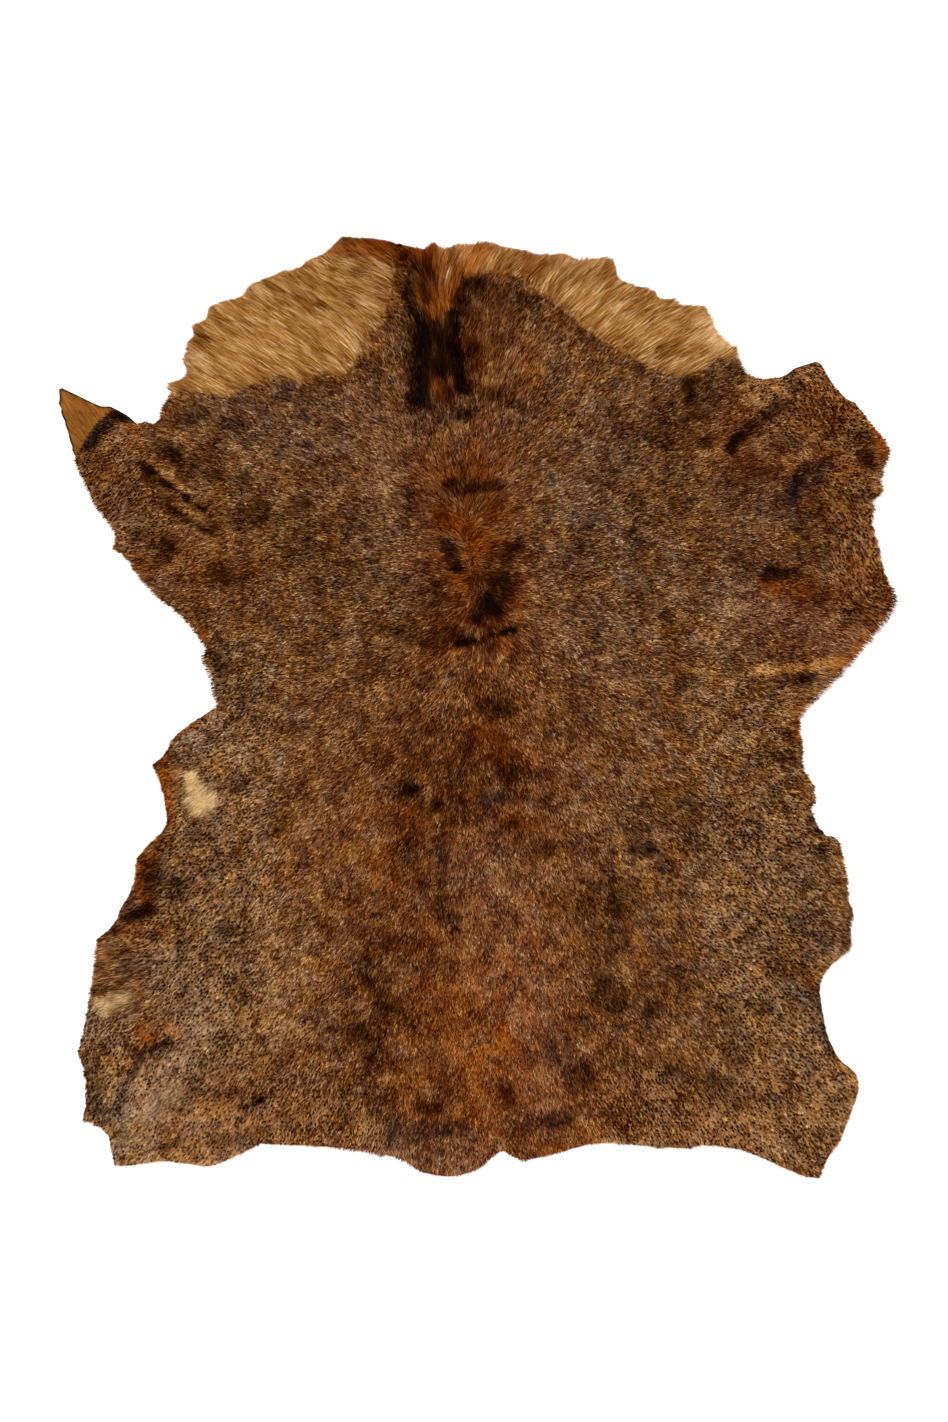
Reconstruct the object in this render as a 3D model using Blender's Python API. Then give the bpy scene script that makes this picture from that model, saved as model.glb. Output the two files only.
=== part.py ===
"""A hair-on sheepskin laid out on a floor, coat up: one hide, modelled as one lumpy sheet.

Metres, +Z up. The origin is on the floor under the middle of the hide, the neck points to +Y.
"""
import math
from collections import namedtuple

import bmesh
import bpy
import numpy as np
from mathutils import Vector
from mathutils.geometry import delaunay_2d_cdt, interpolate_bezier

# Driving dimensions
HIDE_WIDTH = 0.838
HIDE_LENGTH = 0.941
LEATHER_THICKNESS = 0.0018
COAT_DEPTH = 0.0044
COAT_DEPTH_AT_RIM = 0.0010
COAT_RAMP = 0.020
COAT_LUMP = 0.0007

# A lift smaller than this is pressed flat by the hide's own weight
SETTLED_LIFT = 0.0008

# How far a fold wanders off its straight line, and how much of it is left at its ends
FOLD_WANDER = 0.0038
FOLD_END_SHARE = 0.55

# Sizes of the mesh
PLAIN_RIM_STEP = 0.0085
TUFTED_RIM_STEP = 0.0045
FINE_STEP = 0.0105
RIM_RING = 0.0065
RIM_CLEARANCE = 0.0055
CREASED_SLOPE = 0.13

# The tufts that break up the rim: their pitch along it, and a slower swell of their length
TUFT_PITCH = 0.0125
TUFT_SWELL_PITCH = 0.061
TUFT_SWELL = 0.4

# Tufts shorter than this are drawn on the coarser rim
LEAST_FINE_TUFT = 0.0011

# The tables below are in millimetres on a cutting board, across from its left and down from its top
BOARD_UNIT = 0.001

BEND = "bend"
CORNER = "corner"

RimPoint = namedtuple("RimPoint", "across down turn")
RimStretch = namedtuple("RimStretch", "name tuft points")

# The rim, clockwise from the left foreleg. The tuft is how far the hair breaks up the stretch.
RIM = (
    RimStretch("left foreleg, upper edge", 0.0, (
        (60, 390, CORNER), (63, 388, CORNER), (80, 396, BEND), (102, 406, BEND), (111, 406, CORNER),
        (128, 415, BEND), (138, 424, CORNER), (145, 421, BEND), (155, 424, BEND), (161, 418, CORNER))),
    RimStretch("left shoulder", 0.8, (
        (163, 404, BEND), (170, 394, CORNER), (170, 382, CORNER), (186, 381, CORNER), (190, 372, CORNER),
        (185, 360, CORNER), (190, 356, CORNER), (190, 342, CORNER), (197, 338, CORNER), (194, 325, CORNER),
        (206, 321, BEND), (210, 309, CORNER), (226, 301, BEND), (240, 300, CORNER), (252, 288, BEND),
        (280, 274, BEND), (298, 271, BEND), (310, 261, BEND), (326, 254, BEND), (343, 237, CORNER))),
    RimStretch("neck, left part", 0.0, (
        (352, 240, BEND), (385, 241, BEND), (410, 247, BEND), (428, 251, CORNER))),
    RimStretch("neck, under the mane", 0.6, (
        (432, 242, CORNER), (440, 250, CORNER), (450, 249, BEND), (478, 245, BEND), (504, 248, BEND),
        (545, 257, BEND), (564, 254, CORNER), (583, 264, BEND), (598, 259, BEND), (613, 262, CORNER),
        (618, 279, CORNER))),
    RimStretch("right shoulder", 0.5, (
        (636, 288, BEND), (656, 291, CORNER), (657, 298, CORNER), (675, 303, CORNER), (677, 307, CORNER),
        (697, 307, BEND), (708, 317, BEND), (717, 335, BEND), (737, 354, BEND), (748, 373, CORNER),
        (757, 378, BEND), (781, 377, BEND), (795, 368, BEND), (817, 361, CORNER))),
    RimStretch("right foreleg, upper edge", 0.3, (
        (822, 364, CORNER), (832, 382, BEND), (846, 398, CORNER), (855, 402, BEND), (871, 424, BEND),
        (884, 440, BEND), (890, 452, CORNER))),
    RimStretch("right foreleg, lower edge", 1.8, (
        (885, 466, BEND), (881, 482, BEND), (884, 492, CORNER), (872, 502, CORNER), (876, 508, CORNER),
        (872, 517, BEND), (875, 532, BEND), (880, 545, BEND))),
    RimStretch("right flank", 1.8, (
        (882, 560, BEND), (889, 581, BEND), (897, 598, BEND), (890, 616, BEND), (876, 634, BEND),
        (855, 660, BEND), (836, 681, BEND), (817, 700, BEND), (801, 717, CORNER))),
    RimStretch("right waist", 1.5, (
        (800, 726, BEND), (804, 745, BEND), (804, 766, BEND), (815, 785, BEND), (816, 804, CORNER),
        (811, 806, CORNER), (819, 825, BEND), (827, 833, CORNER), (839, 837, CORNER), (848, 877, BEND),
        (850, 901, BEND), (855, 912, CORNER), (851, 924, BEND), (852, 946, CORNER))),
    RimStretch("right hind leg", 0.5, (
        (824, 973, BEND), (820, 990, BEND), (824, 1015, BEND), (828, 1036, BEND), (842, 1060, BEND),
        (856, 1072, BEND), (858, 1088, BEND), (851, 1110, BEND), (840, 1140, BEND), (829, 1155, BEND),
        (819, 1177, CORNER))),
    RimStretch("rump, right part", 0.4, (
        (804, 1175, BEND), (766, 1159, BEND), (741, 1149, BEND), (701, 1143, CORNER), (691, 1147, CORNER),
        (661, 1146, BEND), (600, 1142, BEND), (561, 1151, BEND), (526, 1159, BEND), (512, 1155, BEND),
        (504, 1149, CORNER))),
    RimStretch("rump, left part", 0.4, (
        (491, 1157, BEND), (478, 1168, BEND), (451, 1175, BEND), (423, 1171, BEND), (404, 1159, BEND),
        (371, 1151, BEND), (341, 1147, BEND), (300, 1144, BEND), (261, 1143, CORNER), (230, 1158, BEND),
        (210, 1165, BEND), (164, 1160, BEND), (133, 1164, BEND), (115, 1164, CORNER))),
    RimStretch("left hind leg", 1.4, (
        (111, 1144, BEND), (104, 1128, BEND), (82, 1120, CORNER), (86, 1098, BEND), (84, 1068, BEND),
        (78, 1052, CORNER), (84, 1028, BEND), (90, 995, BEND), (95, 968, BEND), (98, 938, CORNER),
        (113, 925, BEND))),
    RimStretch("left waist", 0.8, (
        (124, 904, BEND), (135, 881, BEND), (139, 856, BEND), (155, 839, BEND), (167, 824, BEND),
        (166, 805, BEND), (158, 774, BEND), (152, 764, CORNER), (163, 756, BEND), (173, 739, BEND),
        (187, 726, BEND), (219, 705, CORNER))),
    RimStretch("left flank", 1.5, (
        (213, 695, BEND), (212, 682, CORNER), (205, 665, BEND), (200, 659, CORNER), (206, 648, CORNER),
        (189, 625, BEND), (168, 608, BEND), (150, 592, BEND), (136, 574, BEND), (128, 560, BEND),
        (114, 549, CORNER))),
    RimStretch("left foreleg, lower edge", 1.2, (
        (115, 533, BEND), (100, 511, BEND), (92, 499, CORNER), (84, 480, BEND), (76, 463, BEND),
        (69, 434, BEND), (61, 405, BEND))),
)

Fold = namedtuple("Fold", "name across down to_across to_down half_width lift coat")

# Each fold is a soft ridge along a line. The lift raises the whole sheet, the coat only its hair.
FOLDS = (
    Fold("left shoulder, swell", 262, 424, 372, 505, 46, 3.5, 0.0),
    Fold("right shoulder, swell", 566, 392, 640, 470, 46, 3.5, 0.0),
    Fold("left back, swell", 302, 630, 330, 790, 52, 3.2, 0.0),
    Fold("right back, swell", 646, 560, 672, 740, 54, 3.4, 0.0),
    Fold("left loin, swell", 300, 890, 262, 1040, 50, 3.8, 0.0),
    Fold("right loin, swell", 668, 880, 742, 1060, 52, 3.8, 0.0),
    Fold("left foreleg, tip curl", 62, 390, 72, 425, 24, 15.0, 0.0),
    Fold("left foreleg, ridge over the furrow", 136, 446, 210, 494, 12, 11.5, 0.4),
    Fold("left foreleg, inner run of the ridge", 208, 492, 304, 548, 14, 6.0, 0.0),
    Fold("left foreleg, furrow", 140, 466, 236, 534, 5, 0.0, -2.0),
    Fold("left foreleg, swell under the furrow", 108, 476, 186, 526, 15, 6.0, 0.0),
    Fold("left foreleg, lower rim", 84, 478, 116, 545, 14, 6.0, 0.0),
    Fold("left shoulder, rim wave", 176, 388, 200, 330, 20, 7.0, 0.0),
    Fold("left shoulder, upper rim wave", 250, 290, 300, 272, 20, 5.0, 0.0),
    Fold("neck, left peak", 343, 242, 352, 256, 22, 11.0, 0.0),
    Fold("neck, right rim wave", 560, 258, 614, 268, 20, 6.0, 0.0),
    Fold("mane, left strand", 402, 278, 424, 398, 11, 1.0, 5.0),
    Fold("mane, right strand", 460, 306, 456, 400, 9, 1.0, 4.5),
    Fold("mane, top", 396, 262, 470, 268, 14, 2.0, 2.0),
    Fold("whorl, brow", 446, 474, 492, 476, 9, 1.0, 1.8),
    Fold("whorl, hollow under the brow", 444, 488, 492, 489, 5, 0.0, -1.6),
    Fold("whorl, tuft", 500, 606, 526, 610, 9, 0.0, 2.4),
    Fold("whorl, right crease", 486, 632, 520, 631, 4.5, 0.0, -2.6),
    Fold("whorl, left crease", 450, 642, 486, 643, 4.5, 0.0, -2.4),
    Fold("back, swell below the creases", 452, 662, 522, 652, 18, 3.0, 1.0),
    Fold("spine", 482, 850, 500, 1080, 34, 3.5, 0.6),
    Fold("right shoulder, rim wave", 690, 312, 735, 352, 20, 7.0, 0.0),
    Fold("right foreleg, lit ridge", 742, 392, 800, 394, 13, 11.0, 0.4),
    Fold("right foreleg, trough", 732, 448, 780, 416, 8, 0.0, -2.2),
    Fold("right foreleg, ridge under the trough", 684, 464, 790, 448, 13, 5.5, 0.0),
    Fold("right foreleg, tip curl", 880, 440, 886, 470, 22, 8.0, 0.0),
    Fold("right elbow, furrow", 824, 464, 800, 498, 8, 0.0, -2.0),
    Fold("right elbow, lower furrow", 800, 498, 808, 556, 8, 0.0, -1.6),
    Fold("right elbow, swell", 842, 486, 846, 556, 17, 7.0, 0.0),
    Fold("right flank, dent", 764, 572, 796, 570, 8, 0.0, -1.8),
    Fold("right flank, swell over the dent", 752, 548, 790, 546, 13, 4.5, 0.0),
    Fold("right flank, tip", 890, 596, 880, 620, 20, 8.0, 0.0),
    Fold("right flank, gold ridge", 764, 669, 846, 661, 12, 7.0, 0.0),
    Fold("right waist, rim wave", 812, 790, 842, 870, 18, 5.0, 0.0),
    Fold("right waist, corner", 848, 930, 838, 950, 20, 7.0, 0.0),
    Fold("right hind leg, corner", 850, 1080, 842, 1100, 28, 12.0, 0.0),
    Fold("right hind leg, point", 816, 1168, 800, 1150, 22, 8.0, 0.0),
    Fold("rump, right rim wave", 640, 1138, 710, 1136, 20, 5.0, 0.0),
    Fold("rump, tail", 440, 1168, 470, 1164, 22, 6.0, 0.0),
    Fold("rump, left rim wave", 290, 1138, 340, 1142, 20, 5.0, 0.0),
    Fold("left hind leg, point", 120, 1156, 150, 1156, 20, 7.0, 0.0),
    Fold("left hind leg, ridge over the fold", 158, 1032, 104, 1088, 13, 7.0, 0.0),
    Fold("left hind leg, fold", 174, 1038, 114, 1106, 7, 0.0, -2.2),
    Fold("left hind leg, ridge under the fold", 196, 1054, 144, 1112, 15, 8.0, 0.0),
    Fold("left hind leg, rim", 86, 1060, 88, 1000, 18, 6.0, 0.0),
    Fold("left waist, rim wave", 140, 868, 162, 806, 17, 6.0, 0.0),
    Fold("left waist, cream spot", 192, 778, 204, 812, 14, 2.5, 0.0),
    Fold("left flank, rim wave", 160, 604, 202, 650, 18, 6.0, 0.0),
)

# The tip of the left foreleg is bare, up to this line
BARE_TIP_FROM = (113, 408)
BARE_TIP_TO = (78, 452)
BARE_TIP_RAMP = 0.006

HIDE_COLOR = (0.13, 0.058, 0.024, 1.0)
HIDE_ROUGHNESS = 0.85


def board_point(across, down):
    """A point of the board's tables as a place in the plane, in metres, with the neck at +Y."""
    return Vector((across * BOARD_UNIT, -down * BOARD_UNIT))


def rim_points():
    """The table's rim, with the tuft length of the stretch that each point starts."""
    points = []
    for stretch in RIM:
        for row in stretch.points:
            rim_point = RimPoint(*row)
            place = board_point(rim_point.across, rim_point.down)
            points.append((place, rim_point.turn, stretch.tuft * BOARD_UNIT))
    return points


def handle(before, point, after, turn, reach, forward):
    """The Bezier handle on one side of a rim point: a corner's aims at its neighbour."""
    if turn == CORNER:
        aim = (after - point) if forward else (before - point)
    else:
        aim = (after - before) if forward else (before - after)
    return point + aim.normalized() * reach


def smooth_rim():
    """Places along the rim and the tuft length at each, with bends drawn as smooth curves."""
    points = rim_points()
    count = len(points)
    places = []
    tufts = []
    for index in range(count):
        before = points[index - 1][0]
        start, start_turn, tuft = points[index]
        end, end_turn, _ = points[(index + 1) % count]
        after = points[(index + 2) % count][0]
        length = (end - start).length
        start_handle = handle(before, start, end, start_turn, length / 3.0, True)
        end_handle = handle(start, end, after, end_turn, length / 3.0, False)
        step = TUFTED_RIM_STEP if tuft >= LEAST_FINE_TUFT else PLAIN_RIM_STEP
        pieces = max(1, round(length / step))
        curve = interpolate_bezier(start, start_handle, end_handle, end, pieces + 1)
        places.extend((point.x, point.y) for point in curve[:-1])
        tufts.extend([tuft] * pieces)
    return np.array(places), np.array(tufts)


def outward_normals(loop):
    """The direction out of a clockwise loop at each of its points."""
    along = np.roll(loop, -1, axis=0) - np.roll(loop, 1, axis=0)
    along /= np.linalg.norm(along, axis=1, keepdims=True)
    return np.column_stack((-along[:, 1], along[:, 0]))


def tufted_rim():
    """The rim with its tufts, in metres."""
    loop, tufts = smooth_rim()
    steps = np.linalg.norm(np.diff(loop, axis=0, append=loop[:1]), axis=1)
    travel = np.cumsum(steps)
    tooth = np.sin(2.0 * math.pi * travel / TUFT_PITCH)
    swell = 1.0 - TUFT_SWELL + TUFT_SWELL * np.sin(2.0 * math.pi * travel / TUFT_SWELL_PITCH)
    return loop + outward_normals(loop) * (tufts * tooth * swell)[:, None]


def nearest_on_line(places, start, end):
    """Each place's distance from the line between two places, and how far along the nearest spot is."""
    start = np.array(start)
    run = np.array(end) - start
    share = np.clip((places - start) @ run / (run @ run), 0.0, 1.0)
    return np.linalg.norm(places - (start + share[:, None] * run), axis=1), share


def distance_to_rim(places, rim):
    """The distance in metres from each place to the rim."""
    nearest = np.full(len(places), np.inf)
    for start, end in zip(rim, np.roll(rim, -1, axis=0)):
        distance, _ = nearest_on_line(places, start, end)
        nearest = np.minimum(nearest, distance)
    return nearest


def inside_rim(places, rim):
    """Which places lie inside the rim, by counting the rim's crossings to one side."""
    inside = np.zeros(len(places), dtype=bool)
    for (x1, y1), (x2, y2) in zip(rim, np.roll(rim, -1, axis=0)):
        if y1 == y2:
            continue
        spans = (y1 > places[:, 1]) != (y2 > places[:, 1])
        crossing = x1 + (places[:, 1] - y1) * (x2 - x1) / (y2 - y1)
        inside ^= spans & (places[:, 0] < crossing)
    return inside


def smooth_step(value):
    """An even ramp from 0 to 1 with soft ends."""
    value = np.clip(value, 0.0, 1.0)
    return value * value * (3.0 - 2.0 * value)


def wandering(places):
    """Places pushed about by slow waves, so that a straight fold comes out as an uneven one."""
    x, y = places[:, 0], places[:, 1]
    push_x = np.sin(x * 41.0 + y * 67.0 + 0.7) + 0.6 * np.sin(x * 93.0 - y * 71.0)
    push_y = np.sin(x * 73.0 - y * 47.0 + 2.1) + 0.6 * np.sin(x * 61.0 + y * 101.0)
    return places + FOLD_WANDER * np.column_stack((push_x, push_y))


def fold_relief(places):
    """How far the folds lift the sheet, and how much they add to its coat, in metres."""
    lift = np.zeros(len(places))
    coat = np.zeros(len(places))
    wandered = wandering(places)
    for fold in FOLDS:
        start = board_point(fold.across, fold.down)
        end = board_point(fold.to_across, fold.to_down)
        distance, share = nearest_on_line(wandered, start, end)
        strength = 1.0 - (1.0 - FOLD_END_SHARE) * (2.0 * share - 1.0) ** 2
        profile = strength * np.exp(-(distance / (fold.half_width * BOARD_UNIT)) ** 2)
        lift += fold.lift * BOARD_UNIT * profile
        coat += fold.coat * BOARD_UNIT * profile
    return np.maximum(lift - SETTLED_LIFT, 0.0), coat


def coat_share(places):
    """1 where the coat grows, falling to 0 on the bare tip of the left foreleg."""
    start = np.array(board_point(*BARE_TIP_FROM))
    run = np.array(board_point(*BARE_TIP_TO)) - start
    run /= np.linalg.norm(run)
    inward = np.array((-run[1], run[0]))
    return smooth_step((places - start) @ inward / BARE_TIP_RAMP)


def coat_lumps(places):
    """The uneven coat, as a few crossing waves, in metres."""
    x, y = places[:, 0], places[:, 1]
    slow = np.sin(x * 118.0 + 1.4 * np.sin(y * 63.0)) * np.sin(y * 131.0 + 1.1 * np.sin(x * 71.0))
    quick = np.sin(x * 255.0 + y * 90.0) * np.sin(y * 233.0 - x * 77.0)
    return COAT_LUMP * (0.65 * slow + 0.35 * quick)


def sheet_heights(places, rim):
    """The heights of the sheet's underside and of the top of its coat at each place."""
    lift, fold_coat = fold_relief(places)
    ramp = smooth_step(distance_to_rim(places, rim) / COAT_RAMP)
    full_coat = COAT_DEPTH + fold_coat + coat_lumps(places)
    coat = COAT_DEPTH_AT_RIM + (full_coat - COAT_DEPTH_AT_RIM) * ramp
    coat = np.maximum(coat, 0.0) * coat_share(places)
    return lift, lift + LEATHER_THICKNESS + coat


def fold_slope(places):
    """How steeply the coat's top changes at each place."""
    reach = FINE_STEP
    steepest = np.zeros(len(places))
    for offset in ((reach, 0.0), (0.0, reach)):
        ahead_lift, ahead_coat = fold_relief(places + np.array(offset))
        behind_lift, behind_coat = fold_relief(places - np.array(offset))
        change = ahead_lift + ahead_coat - behind_lift - behind_coat
        steepest = np.maximum(steepest, np.abs(change) / (2.0 * reach))
    return steepest


def inner_places(rim):
    """Staggered places inside the rim: close together on the folds, twice as wide on the flat."""
    low = rim.min(axis=0)
    high = rim.max(axis=0)
    row_step = FINE_STEP * math.sqrt(3.0) / 2.0
    rows = int((high[1] - low[1]) / row_step)
    columns = int((high[0] - low[0]) / FINE_STEP)
    places = []
    coarse = []
    for row in range(rows):
        for column in range(columns):
            shift = 0.5 * (row % 2)
            places.append((low[0] + (column + shift) * FINE_STEP, low[1] + row * row_step))
            on_even_row = row % 2 == 0
            coarse.append(on_even_row and (column + row // 2) % 2 == 0)
    places = np.array(places)
    keep = np.array(coarse) | (fold_slope(places) > CREASED_SLOPE)
    places = places[keep & inside_rim(places, rim)]

    ring = rim - outward_normals(rim) * RIM_RING
    ring = ring[inside_rim(ring, rim)]
    ring = ring[distance_to_rim(ring, rim) > RIM_CLEARANCE]
    clear_of_ring = distance_to_rim(places, rim) > RIM_RING + RIM_CLEARANCE
    return np.vstack((thinned(ring, RIM_CLEARANCE), places[clear_of_ring]))


def thinned(places, spacing):
    """The places in order, without any that is closer than the spacing to one kept before."""
    kept = []
    for place in places:
        if all(np.hypot(*(place - other)) > spacing for other in kept):
            kept.append(place)
    return np.array(kept)


def triangulated(rim, inner):
    """Plan points and triangles of the sheet, the rim's points first."""
    points = [Vector(place) for place in np.vstack((rim, inner))]
    rim_loop = list(range(len(rim)))[::-1]
    plan, _, triangles, *_ = delaunay_2d_cdt(points, [], [rim_loop], 1, 1e-7)
    return np.array([tuple(point) for point in plan]), triangles


def fitted(plan):
    """The plan centred on the origin, at the hide's real width and length."""
    low = plan.min(axis=0)
    high = plan.max(axis=0)
    return (plan - (low + high) / 2.0) * np.array((HIDE_WIDTH, HIDE_LENGTH)) / (high - low)


def hide_material():
    """The coat's overall brown."""
    material = bpy.data.materials.new("brown_coat")
    material.use_nodes = True
    shader = material.node_tree.nodes["Principled BSDF"]
    shader.inputs["Base Color"].default_value = HIDE_COLOR
    shader.inputs["Roughness"].default_value = HIDE_ROUGHNESS
    shader.inputs["Metallic"].default_value = 0.0
    return material


def build_sheepskin():
    """The hide: top and underside share one plan, and a low wall joins them around the rim."""
    rim = tufted_rim()
    plan, triangles = triangulated(rim, inner_places(rim))
    underside, top = sheet_heights(plan, rim)
    places = fitted(plan)

    shape = bmesh.new()
    low = [shape.verts.new((x, y, z)) for (x, y), z in zip(places, underside)]
    high = [shape.verts.new((x, y, z)) for (x, y), z in zip(places, top)]
    for a, b, c in triangles:
        shape.faces.new((high[a], high[b], high[c]))
        shape.faces.new((low[c], low[b], low[a]))
    for start in range(len(rim)):
        end = (start + 1) % len(rim)
        shape.faces.new((high[start], high[end], low[end], low[start]))
    bmesh.ops.recalc_face_normals(shape, faces=shape.faces)
    for face in shape.faces:
        face.smooth = True

    mesh = bpy.data.meshes.new("sheepskin")
    shape.to_mesh(mesh)
    shape.free()
    mesh.set_sharp_from_angle(angle=math.radians(50.0))
    mesh.materials.append(hide_material())
    sheepskin = bpy.data.objects.new("sheepskin", mesh)
    bpy.context.scene.collection.objects.link(sheepskin)
    return sheepskin


def main():
    for old in list(bpy.data.objects):
        bpy.data.objects.remove(old)
    build_sheepskin()


main()
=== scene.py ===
import math

import bpy
import numpy as np
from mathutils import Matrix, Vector
from mathutils.bvhtree import BVHTree


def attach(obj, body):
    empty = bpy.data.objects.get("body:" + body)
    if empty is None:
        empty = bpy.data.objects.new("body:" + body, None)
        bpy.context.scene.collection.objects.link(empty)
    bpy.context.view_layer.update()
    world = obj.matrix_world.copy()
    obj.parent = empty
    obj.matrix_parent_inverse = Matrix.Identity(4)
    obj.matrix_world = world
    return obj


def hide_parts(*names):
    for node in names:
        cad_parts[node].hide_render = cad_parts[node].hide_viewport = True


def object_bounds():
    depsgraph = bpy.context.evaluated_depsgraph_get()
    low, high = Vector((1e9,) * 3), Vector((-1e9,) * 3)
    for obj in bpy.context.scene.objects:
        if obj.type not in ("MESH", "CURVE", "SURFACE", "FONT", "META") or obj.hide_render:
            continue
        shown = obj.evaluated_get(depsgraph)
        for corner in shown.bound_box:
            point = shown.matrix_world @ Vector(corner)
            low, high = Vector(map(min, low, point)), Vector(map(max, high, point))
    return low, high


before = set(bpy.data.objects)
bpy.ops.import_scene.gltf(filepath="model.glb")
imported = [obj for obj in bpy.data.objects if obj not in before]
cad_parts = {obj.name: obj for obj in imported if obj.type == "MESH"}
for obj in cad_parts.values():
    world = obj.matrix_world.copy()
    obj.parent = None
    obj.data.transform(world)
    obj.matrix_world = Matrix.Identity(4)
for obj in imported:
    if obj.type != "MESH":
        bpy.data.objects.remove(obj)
cadLow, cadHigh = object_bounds()
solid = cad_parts["sheepskin"]
chance = np.random.default_rng(41)

board = {"midAcross": 478.5, "midDown": 707.5, "unit": 0.001}


def onBoard(across, down):
    return (
        (np.asarray(across, float) - board["midAcross"]) * board["unit"],
        (board["midDown"] - np.asarray(down, float)) * board["unit"],
    )


def smooth(value):
    value = np.clip(value, 0.0, 1.0)
    return value * value * (3.0 - 2.0 * value)


def cloud(x, y, pitch, seed):
    # soft random patches of about the pitch, from 0 to 1
    knots = np.random.default_rng(seed).random((64, 64))
    u, v = x / pitch + 400.0, y / pitch + 400.0
    i, j = np.floor(u).astype(int), np.floor(v).astype(int)
    s, t = smooth(u - i), smooth(v - j)
    near = knots[i % 64, j % 64] * (1 - s) + knots[(i + 1) % 64, j % 64] * s
    far = knots[i % 64, (j + 1) % 64] * (1 - s) + knots[(i + 1) % 64, (j + 1) % 64] * s
    return near * (1 - t) + far * t


def nearLine(x, y, row):
    # how far each place is from a row's line, in metres
    startX, startY = onBoard(row[1], row[2])
    endX, endY = onBoard(row[3], row[4])
    runX, runY = endX - startX, endY - startY
    square = max(runX * runX + runY * runY, 1e-12)
    share = np.clip(((x - startX) * runX + (y - startY) * runY) / square, 0.0, 1.0)
    return np.hypot(x - startX - share * runX, y - startY - share * runY)


# Relief, read from the solid: its underside, its leather and the depth of its coat

relief = {"cell": 0.003, "margin": 0.036, "blurs": 2, "leather": 0.0018}


def readSolid():
    mesh = solid.data
    faces = [tuple(face.vertices) for face in mesh.polygons]
    tree = BVHTree.FromPolygons([v.co for v in mesh.vertices], faces)
    lowX, lowY = cadLow.x - relief["margin"], cadLow.y - relief["margin"]
    columns = int((cadHigh.x + relief["margin"] - lowX) / relief["cell"]) + 2
    rows = int((cadHigh.y + relief["margin"] - lowY) / relief["cell"]) + 2
    under = np.full((columns, rows), np.nan)
    top = np.full((columns, rows), np.nan)
    for i in range(columns):
        for j in range(rows):
            x, y = lowX + i * relief["cell"], lowY + j * relief["cell"]
            hit = tree.ray_cast(Vector((x, y, 1.0)), Vector((0, 0, -1)))[0]
            if hit is None:
                continue
            top[i, j] = hit.z
            hit = tree.ray_cast(Vector((x, y, -1.0)), Vector((0, 0, 1)))[0]
            under[i, j] = hit.z if hit else 0.0
    return lowX, lowY, under, top


def neighbours(grid):
    padded = np.pad(grid, 1, mode="edge")
    wide, high = grid.shape
    return [padded[1 + i:1 + i + wide, 1 + j:1 + j + high] for i in (-1, 0, 1) for j in (-1, 0, 1)]


def spreadOut(grid):
    # carries the rim's heights outwards, so that hairs past the rim have something to follow
    grid = grid.copy()
    for _ in range(int(relief["margin"] / relief["cell"]) + 2):
        gaps = np.isnan(grid)
        around = np.array(neighbours(grid))
        known = ~np.isnan(around)
        count = known.sum(axis=0)
        mean = np.where(known, around, 0.0).sum(axis=0) / np.maximum(count, 1)
        grid[gaps & (count > 0)] = mean[gaps & (count > 0)]
    grid = np.nan_to_num(grid)
    for _ in range(relief["blurs"]):
        grid = np.mean(neighbours(grid), axis=0)
    return grid


def sampled(grid, x, y):
    u = np.clip((x - gridLowX) / relief["cell"], 0, grid.shape[0] - 1.001)
    v = np.clip((y - gridLowY) / relief["cell"], 0, grid.shape[1] - 1.001)
    i, j = u.astype(int), v.astype(int)
    s, t = u - i, v - j
    return (
        grid[i, j] * (1 - s) * (1 - t) + grid[i + 1, j] * s * (1 - t)
        + grid[i, j + 1] * (1 - s) * t + grid[i + 1, j + 1] * s * t
    )


def readRim():
    # the solid's upper edge, as one ordered loop
    mesh = solid.data
    places = {}
    ids = []
    for vertex in mesh.vertices:
        key = tuple(round(c, 6) for c in vertex.co)
        ids.append(places.setdefault(key, len(places)))
    sides = {}
    for face in mesh.polygons:
        corners = [ids[v] for v in face.vertices]
        for a, b in zip(corners, corners[1:] + corners[:1]):
            sides.setdefault(frozenset((a, b)), []).append((face.normal.z, a, b))
    following = {}
    for pair in sides.values():
        if len(pair) == 2:
            pair = sorted(pair)
            if abs(pair[0][0]) < 0.2 and pair[1][0] > 0.5:
                following[pair[1][1]] = pair[1][2]
    points = list(places)
    start = next(iter(following))
    loop, here = [start], following[start]
    while here != start:
        loop.append(here)
        here = following[here]
    return np.array([points[i][:2] for i in loop])


def rimDistance(rim, inside):
    # distance to the rim at each cell of the grid, negative outside it
    columns, rows = inside.shape
    x = gridLowX + np.arange(columns)[:, None] * relief["cell"]
    y = gridLowY + np.arange(rows)[None, :] * relief["cell"]
    nearest = np.full(inside.shape, np.inf)
    for (aX, aY), (bX, bY) in zip(rim, np.roll(rim, -1, axis=0)):
        runX, runY = bX - aX, bY - aY
        share = np.clip(((x - aX) * runX + (y - aY) * runY) / (runX * runX + runY * runY), 0, 1)
        nearest = np.minimum(nearest, (x - aX - share * runX) ** 2 + (y - aY - share * runY) ** 2)
    return np.where(inside, 1.0, -1.0) * np.sqrt(nearest)


gridLowX, gridLowY, rawUnder, rawTop = readSolid()
rim = readRim()
rimGrid = rimDistance(rim, ~np.isnan(rawTop))
underGrid = spreadOut(rawUnder)
leatherGrid = underGrid + relief["leather"]
coatGrid = np.maximum(spreadOut(rawTop) - leatherGrid, 0.0)
print(f"relief read: {rawTop.shape} cells, {len(rim)} points on the rim")


# How the hair lies: away from the whorl on the back, and as these spots say

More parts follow.
